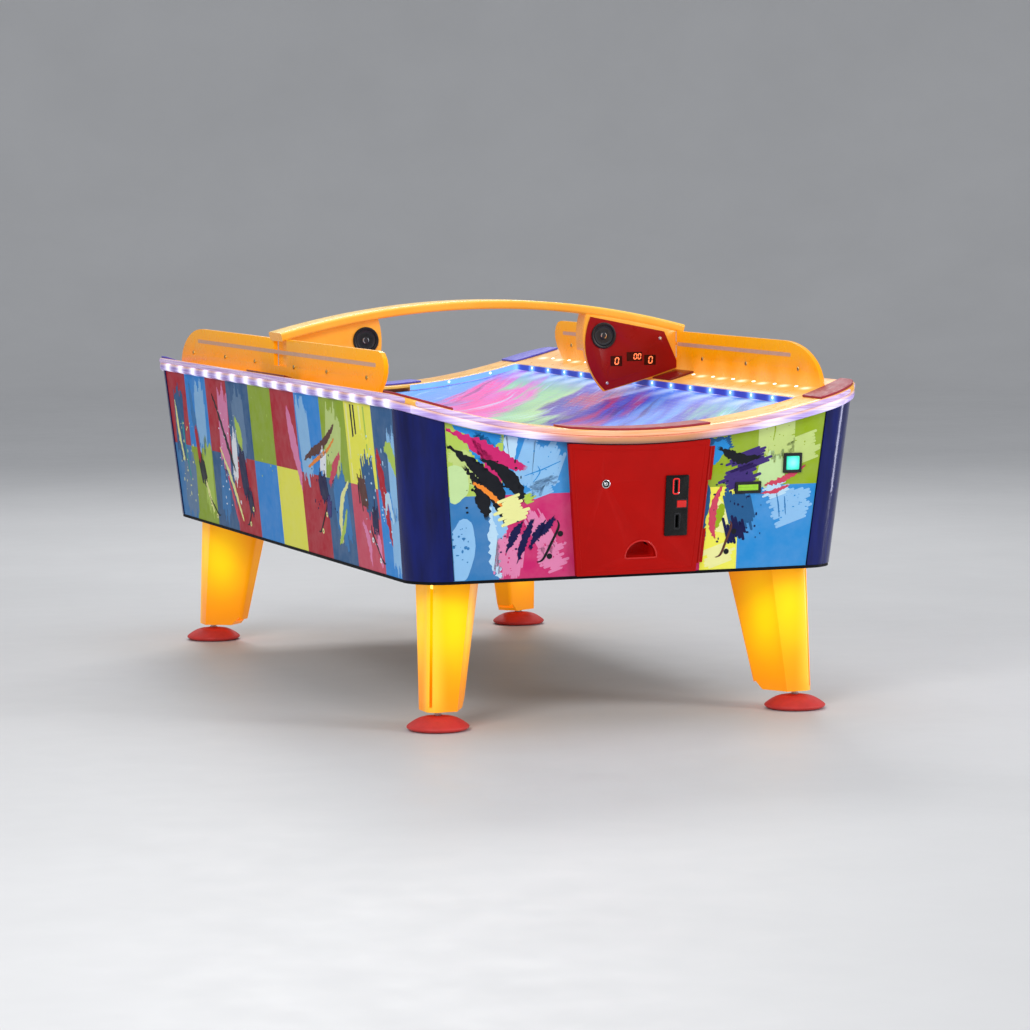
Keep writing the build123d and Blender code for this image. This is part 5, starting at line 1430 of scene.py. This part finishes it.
# left of the door: a fan of sweeping brush strokes
d.add(stroke([(-.528, .402, .003), (-.480, .382, .010), (-.425, .350, .020), (-.370, .318, .020), (-.318, .300, .008)], .004, .018), "magenta", 3)
d.add(stroke([(-.455, .372, .004), (-.420, .330, .012), (-.395, .290, .020), (-.385, .245, .012)], .004, .016), "magenta", 3)
d.add(stroke([(-.524, .360, .003), (-.478, .330, .009), (-.432, .292, .017), (-.395, .248, .024), (-.372, .200, .016), (-.362, .165, .006)], .004, .020), "ink", 5)
d.add(stroke([(-.470, .300, .003), (-.442, .262, .010), (-.425, .222, .018), (-.412, .180, .010)], .004, .018), "ink", 5)
d.add(stroke([(-.425, .325, .004), (-.385, .300, .013), (-.345, .262, .020), (-.315, .222, .010)], .004, .018), "ink", 5)
d.dots(-.395, .250, .15, .15, 34, "ink", 5, .0010, .0042)
d.add(stroke([(-.448, .262, .003), (-.420, .245, .006), (-.388, .218, .006), (-.362, .192, .003)], .002, .008), "orange", 6)
d.add(patch(-.345, .190, .072, .072, -.02, .010, 14), "straw", 7)
d.add(patch(-.298, .218, .036, .026, .0, .007, 7), "lime", 7)
for a_, b_, h_ in ((-.352, .086, .066), (-.322, .058, .098), (-.288, .092, .060), (-.262, .120, .040)):
    d.add(stroke([(a_, b_, .003), (a_ + .012, b_ + h_ * .4, .010), (a_ + .024, b_ + h_ * .75, .009), (a_ + .034, b_ + h_, .004)], .003, .012), "navy", 8)
d.dots(-.315, .120, .12, .10, 22, "navy", 8, .0009, .0032)
d.board(-.232, .098, .120, 1.12, "ink", 9, "ink")
# right of the door: clouds of colour behind
d.add(stroke([(.186, .350, .010), (.196, .322, .014), (.190, .300, .004)], .003, .006), "magenta", 1)
d.add(stroke([(.204, .345, .016), (.232, .340, .020), (.262, .348, .016)], .003, .010), "steel", 1)
d.add(stroke([(.192, .285, .014), (.215, .318, .024), (.250, .345, .014)], .003, .010), "sky", 2)
d.add(patch(.395, .370, .105, .130, .0, .010, 24), "pale_green", 1)
d.add(patch(.475, .325, .085, .075, .02, .010, 16), "pale_green", 1)
d.add(patch(.385, .270, .080, .090, .02, .010, 16), "mint", 1)
d.dots(.42, .36, .13, .12, 22, "green", 2, .0008, .0026)
d.add(stroke([(.382, .420, .0012), (.390, .385, .002), (.386, .350, .001)], .0005, .004), "green", 2)
d.add(patch(.440, .170, .120, .090, .03, .010, 18), "pale_blue", 1)
d.add(patch(.395, .215, .070, .040, .0, .010, 8), "ice", 2)
d.dots(.44, .175, .10, .07, 16, "sky", 2, .0008, .0026)
d.add(stroke([(.402, .205, .0014), (.408, .175, .0022), (.412, .145, .0014)], .0005, .004), "mid_blue", 2)
d.add(stroke([(.425, .195, .0014), (.428, .170, .002), (.430, .150, .001)], .0005, .004), "mid_blue", 2)
# right of the door: broad dabs and crossing strokes
d.add(stroke([(.186, .262, .004), (.200, .205, .013), (.190, .140, .012), (.196, .095, .005)], .003, .010), "steel", 4)
d.add(patch(.318, .300, .112, .050, .03, .010, 10), "grape", 5)
d.add(patch(.292, .250, .100, .060, .02, .011, 12), "grape", 5)
d.add(stroke([(.236, .330, .003), (.268, .312, .012), (.305, .300, .012), (.345, .306, .004)], .003, .014), "ink", 6)
d.add(stroke([(.372, .232, .003), (.402, .238, .007), (.438, .252, .007), (.472, .274, .003)], .003, .012), "rose", 6)
d.add(stroke([(.360, .208, .002), (.395, .212, .005), (.430, .224, .003)], .002, .010), "rose", 6)
d.add(stroke([(.240, .225, .004), (.222, .180, .010), (.220, .130, .009), (.226, .098, .004)], .003, .010), "rose", 6)
d.add(patch(.296, .168, .078, .110, -.03, .011, 18), "steel", 6)
d.add(patch(.286, .110, .060, .070, -.02, .010, 12), "navy", 7)
d.dots(.290, .190, .14, .22, 34, "navy", 7, .0009, .0036)
d.add(blob(.238, .150, .026, .046, .14), "straw", 3)
d.add(stroke([(.222, .120, .010), (.235, .150, .014), (.250, .180, .008)], .003, .006), "green", 4)
d.add(patch(.235, .045, .085, .055, .0, .008, 10), "straw", 1)
d.board(.262, .086, .105, 1.22, "brown", 8, "ink")
d.done()

d = Decals("print_marks_far", FAR, lim_far)
for k_, (cx, c1, c2, c3) in enumerate(((-.45, "sky", "pale_green", "ink"), (-.24, "pink", "pale_blue", "grape"), (.24, "straw", "pale_blue", "navy"), (.45, "pale_blue", "mint", "brown"))):
    d.add(patch(cx, .30, .14, .11, .03, .012, 20), c2, 1)
    d.add(patch(cx - .02, .11, .12, .10, -.03, .012, 18), c1, 1)
    if not -.40 < cx < -.20:
        d.add(stroke([(cx - .06, .30, .006), (cx - .02, .26, .024), (cx + .03, .19, .026), (cx + .04, .12, .008)], .005, .014), c3, 3)
        d.board(cx + (.02 if cx < 0 else -.02), .110, .11, .9 * (-1) ** k_, "ink", 5)
    d.dots(cx, .24, .15, .20, 18, "white", 4)
d.add(stroke([(-.11, .22, .004), (-.05, .27, .016), (.03, .32, .020), (.09, .38, .006)], .005, .016), "magenta", 2)
d.add(patch(.0, .22, .16, .07, .03, .012, 12), "ice", 1)
d.done()

# narrow joint lines where the printed panels meet the corner profiles
bm = bmesh.new()
for place, half, base in ((LEFT, LB, 1), (RIGHT, LB, 1), (NEAR, WB, 0), (FAR, WB, 0)):
    for sgn in (-1, 1):
        rows = []
        hi_v = .4475 if base else .440
        for i in range(13):
            v = .0095 + (hi_v - .0095) * i / 12
            z = ZB + v * (CA if base else CT)
            e = (LB + (LT - LB) * (z - ZB) / (ZT - ZB) if base else WB + (WT - WB) * (z - ZB) / (ZT - ZB)) - .1
            e0, e1 = sgn * (e - .0022), sgn * (e + .0004)
            rows.append([place(e0, v, -.0004), place(e0, v, .0008), place(e1, v, .0008), place(e1, v, -.0004)])
        add_rings(bm, rows)
finish_mesh("panel_edge_joints", bm, [M("trim")])

# ------------------------------------------------------------------ stage
bm = bmesh.new()
prof = [(.02, 0.0), (2.0, 0.0), (6.0, 0.0), (13.5, 0.0)]
for i in range(1, 17):
    a = math.pi / 2 * i / 16
    prof.append((13.5 + 5.0 * math.sin(a), 5.0 - 5.0 * math.cos(a)))
add_rings(bm, [[(r * math.cos(2 * math.pi * j / 96), r * math.sin(2 * math.pi * j / 96), h - .0003) for j in range(96)] for r, h in prof], caps=False)
bm.faces.new([v for v in bm.verts if math.hypot(v.co.x, v.co.y) < .03])
bmesh.ops.recalc_face_normals(bm, faces=bm.faces)
if min(bm.faces, key=lambda q: q.calc_center_median().length).normal.z < 0:
    bmesh.ops.reverse_faces(bm, faces=bm.faces)
me = bpy.data.meshes.new("floor")
bm.to_mesh(me)
bm.free()
for p in me.polygons:
    p.use_smooth = True
fm = Mat("studio_floor")
fn = fm.noise(1.2, 4.0)
fm.set(base=fm.ramp(fn, [(.3, (.60, .60, .605, 1)), (.7, (.635, .635, .64, 1))]), rough=fm.remap(fm.noise(8, 3), .3, .7, .5, .62),
       normal=fm.bump(fm.noise(90, 3), .03, .001))
me.materials.append(fm.m)
floor = bpy.data.objects.new("floor", me)
scene.collection.objects.link(floor)

w = bpy.data.worlds.new("studio")
scene.world = w
w.use_nodes = True
bg = w.node_tree.nodes["Background"]
bg.inputs[0].default_value = (.92, .95, 1.0, 1)
bg.inputs[1].default_value = .52


def softbox(name, loc, target, size, power, color=(1, 1, 1)):
    li = bpy.data.lights.new(name, "AREA")
    li.shape, li.size, li.size_y = "RECTANGLE", size[0], size[1]
    li.energy, li.color = power, color
    o = bpy.data.objects.new(name, li)
    o.location = loc
    o.rotation_euler = (Vector(target) - Vector(loc)).to_track_quat("-Z", "Y").to_euler()
    scene.collection.objects.link(o)


softbox("key", (-4.4, -5.2, 3.9), (0, 0, .6), (2.8, 2.2), 220)
softbox("fill", (4.6, -5.2, 2.6), (0, 0, .6), (2.2, 2.4), 150)
softbox("back", (1.5, 5.2, 4.4), (0, 0, .8), (3.0, 1.6), 130)
softbox("top", (0, -.4, 5.0), (0, 0, .8), (2.4, 3.0), 50)
softbox("rim", (2.9, -1.38, .32), (.62, -1.18, .55), (.34, .56), 9, (.80, .80, 1.0))

# ------------------------------------------------------------------ camera
cam = bpy.data.cameras.new("camera")
cam.sensor_width = 36.0
cam.lens = 129.03
cam.clip_start, cam.clip_end = .1, 100
co = bpy.data.objects.new("camera", cam)
yaw, pitch, roll = math.radians(20.64), math.radians(5.12), math.radians(-.40)
fw = Vector((math.sin(yaw) * math.cos(pitch), math.cos(yaw) * math.cos(pitch), -math.sin(pitch)))
rt = Vector((math.cos(yaw), -math.sin(yaw), 0))
up = rt.cross(fw)
cr, sr = math.cos(roll), math.sin(roll)
rt, up = rt * cr + up * sr, up * cr - rt * sr
mt = Matrix(((rt.x, up.x, -fw.x, -3.663), (rt.y, up.y, -fw.y, -10.001), (rt.z, up.z, -fw.z, 1.408), (0, 0, 0, 1)))
co.matrix_world = mt
scene.collection.objects.link(co)
scene.camera = co
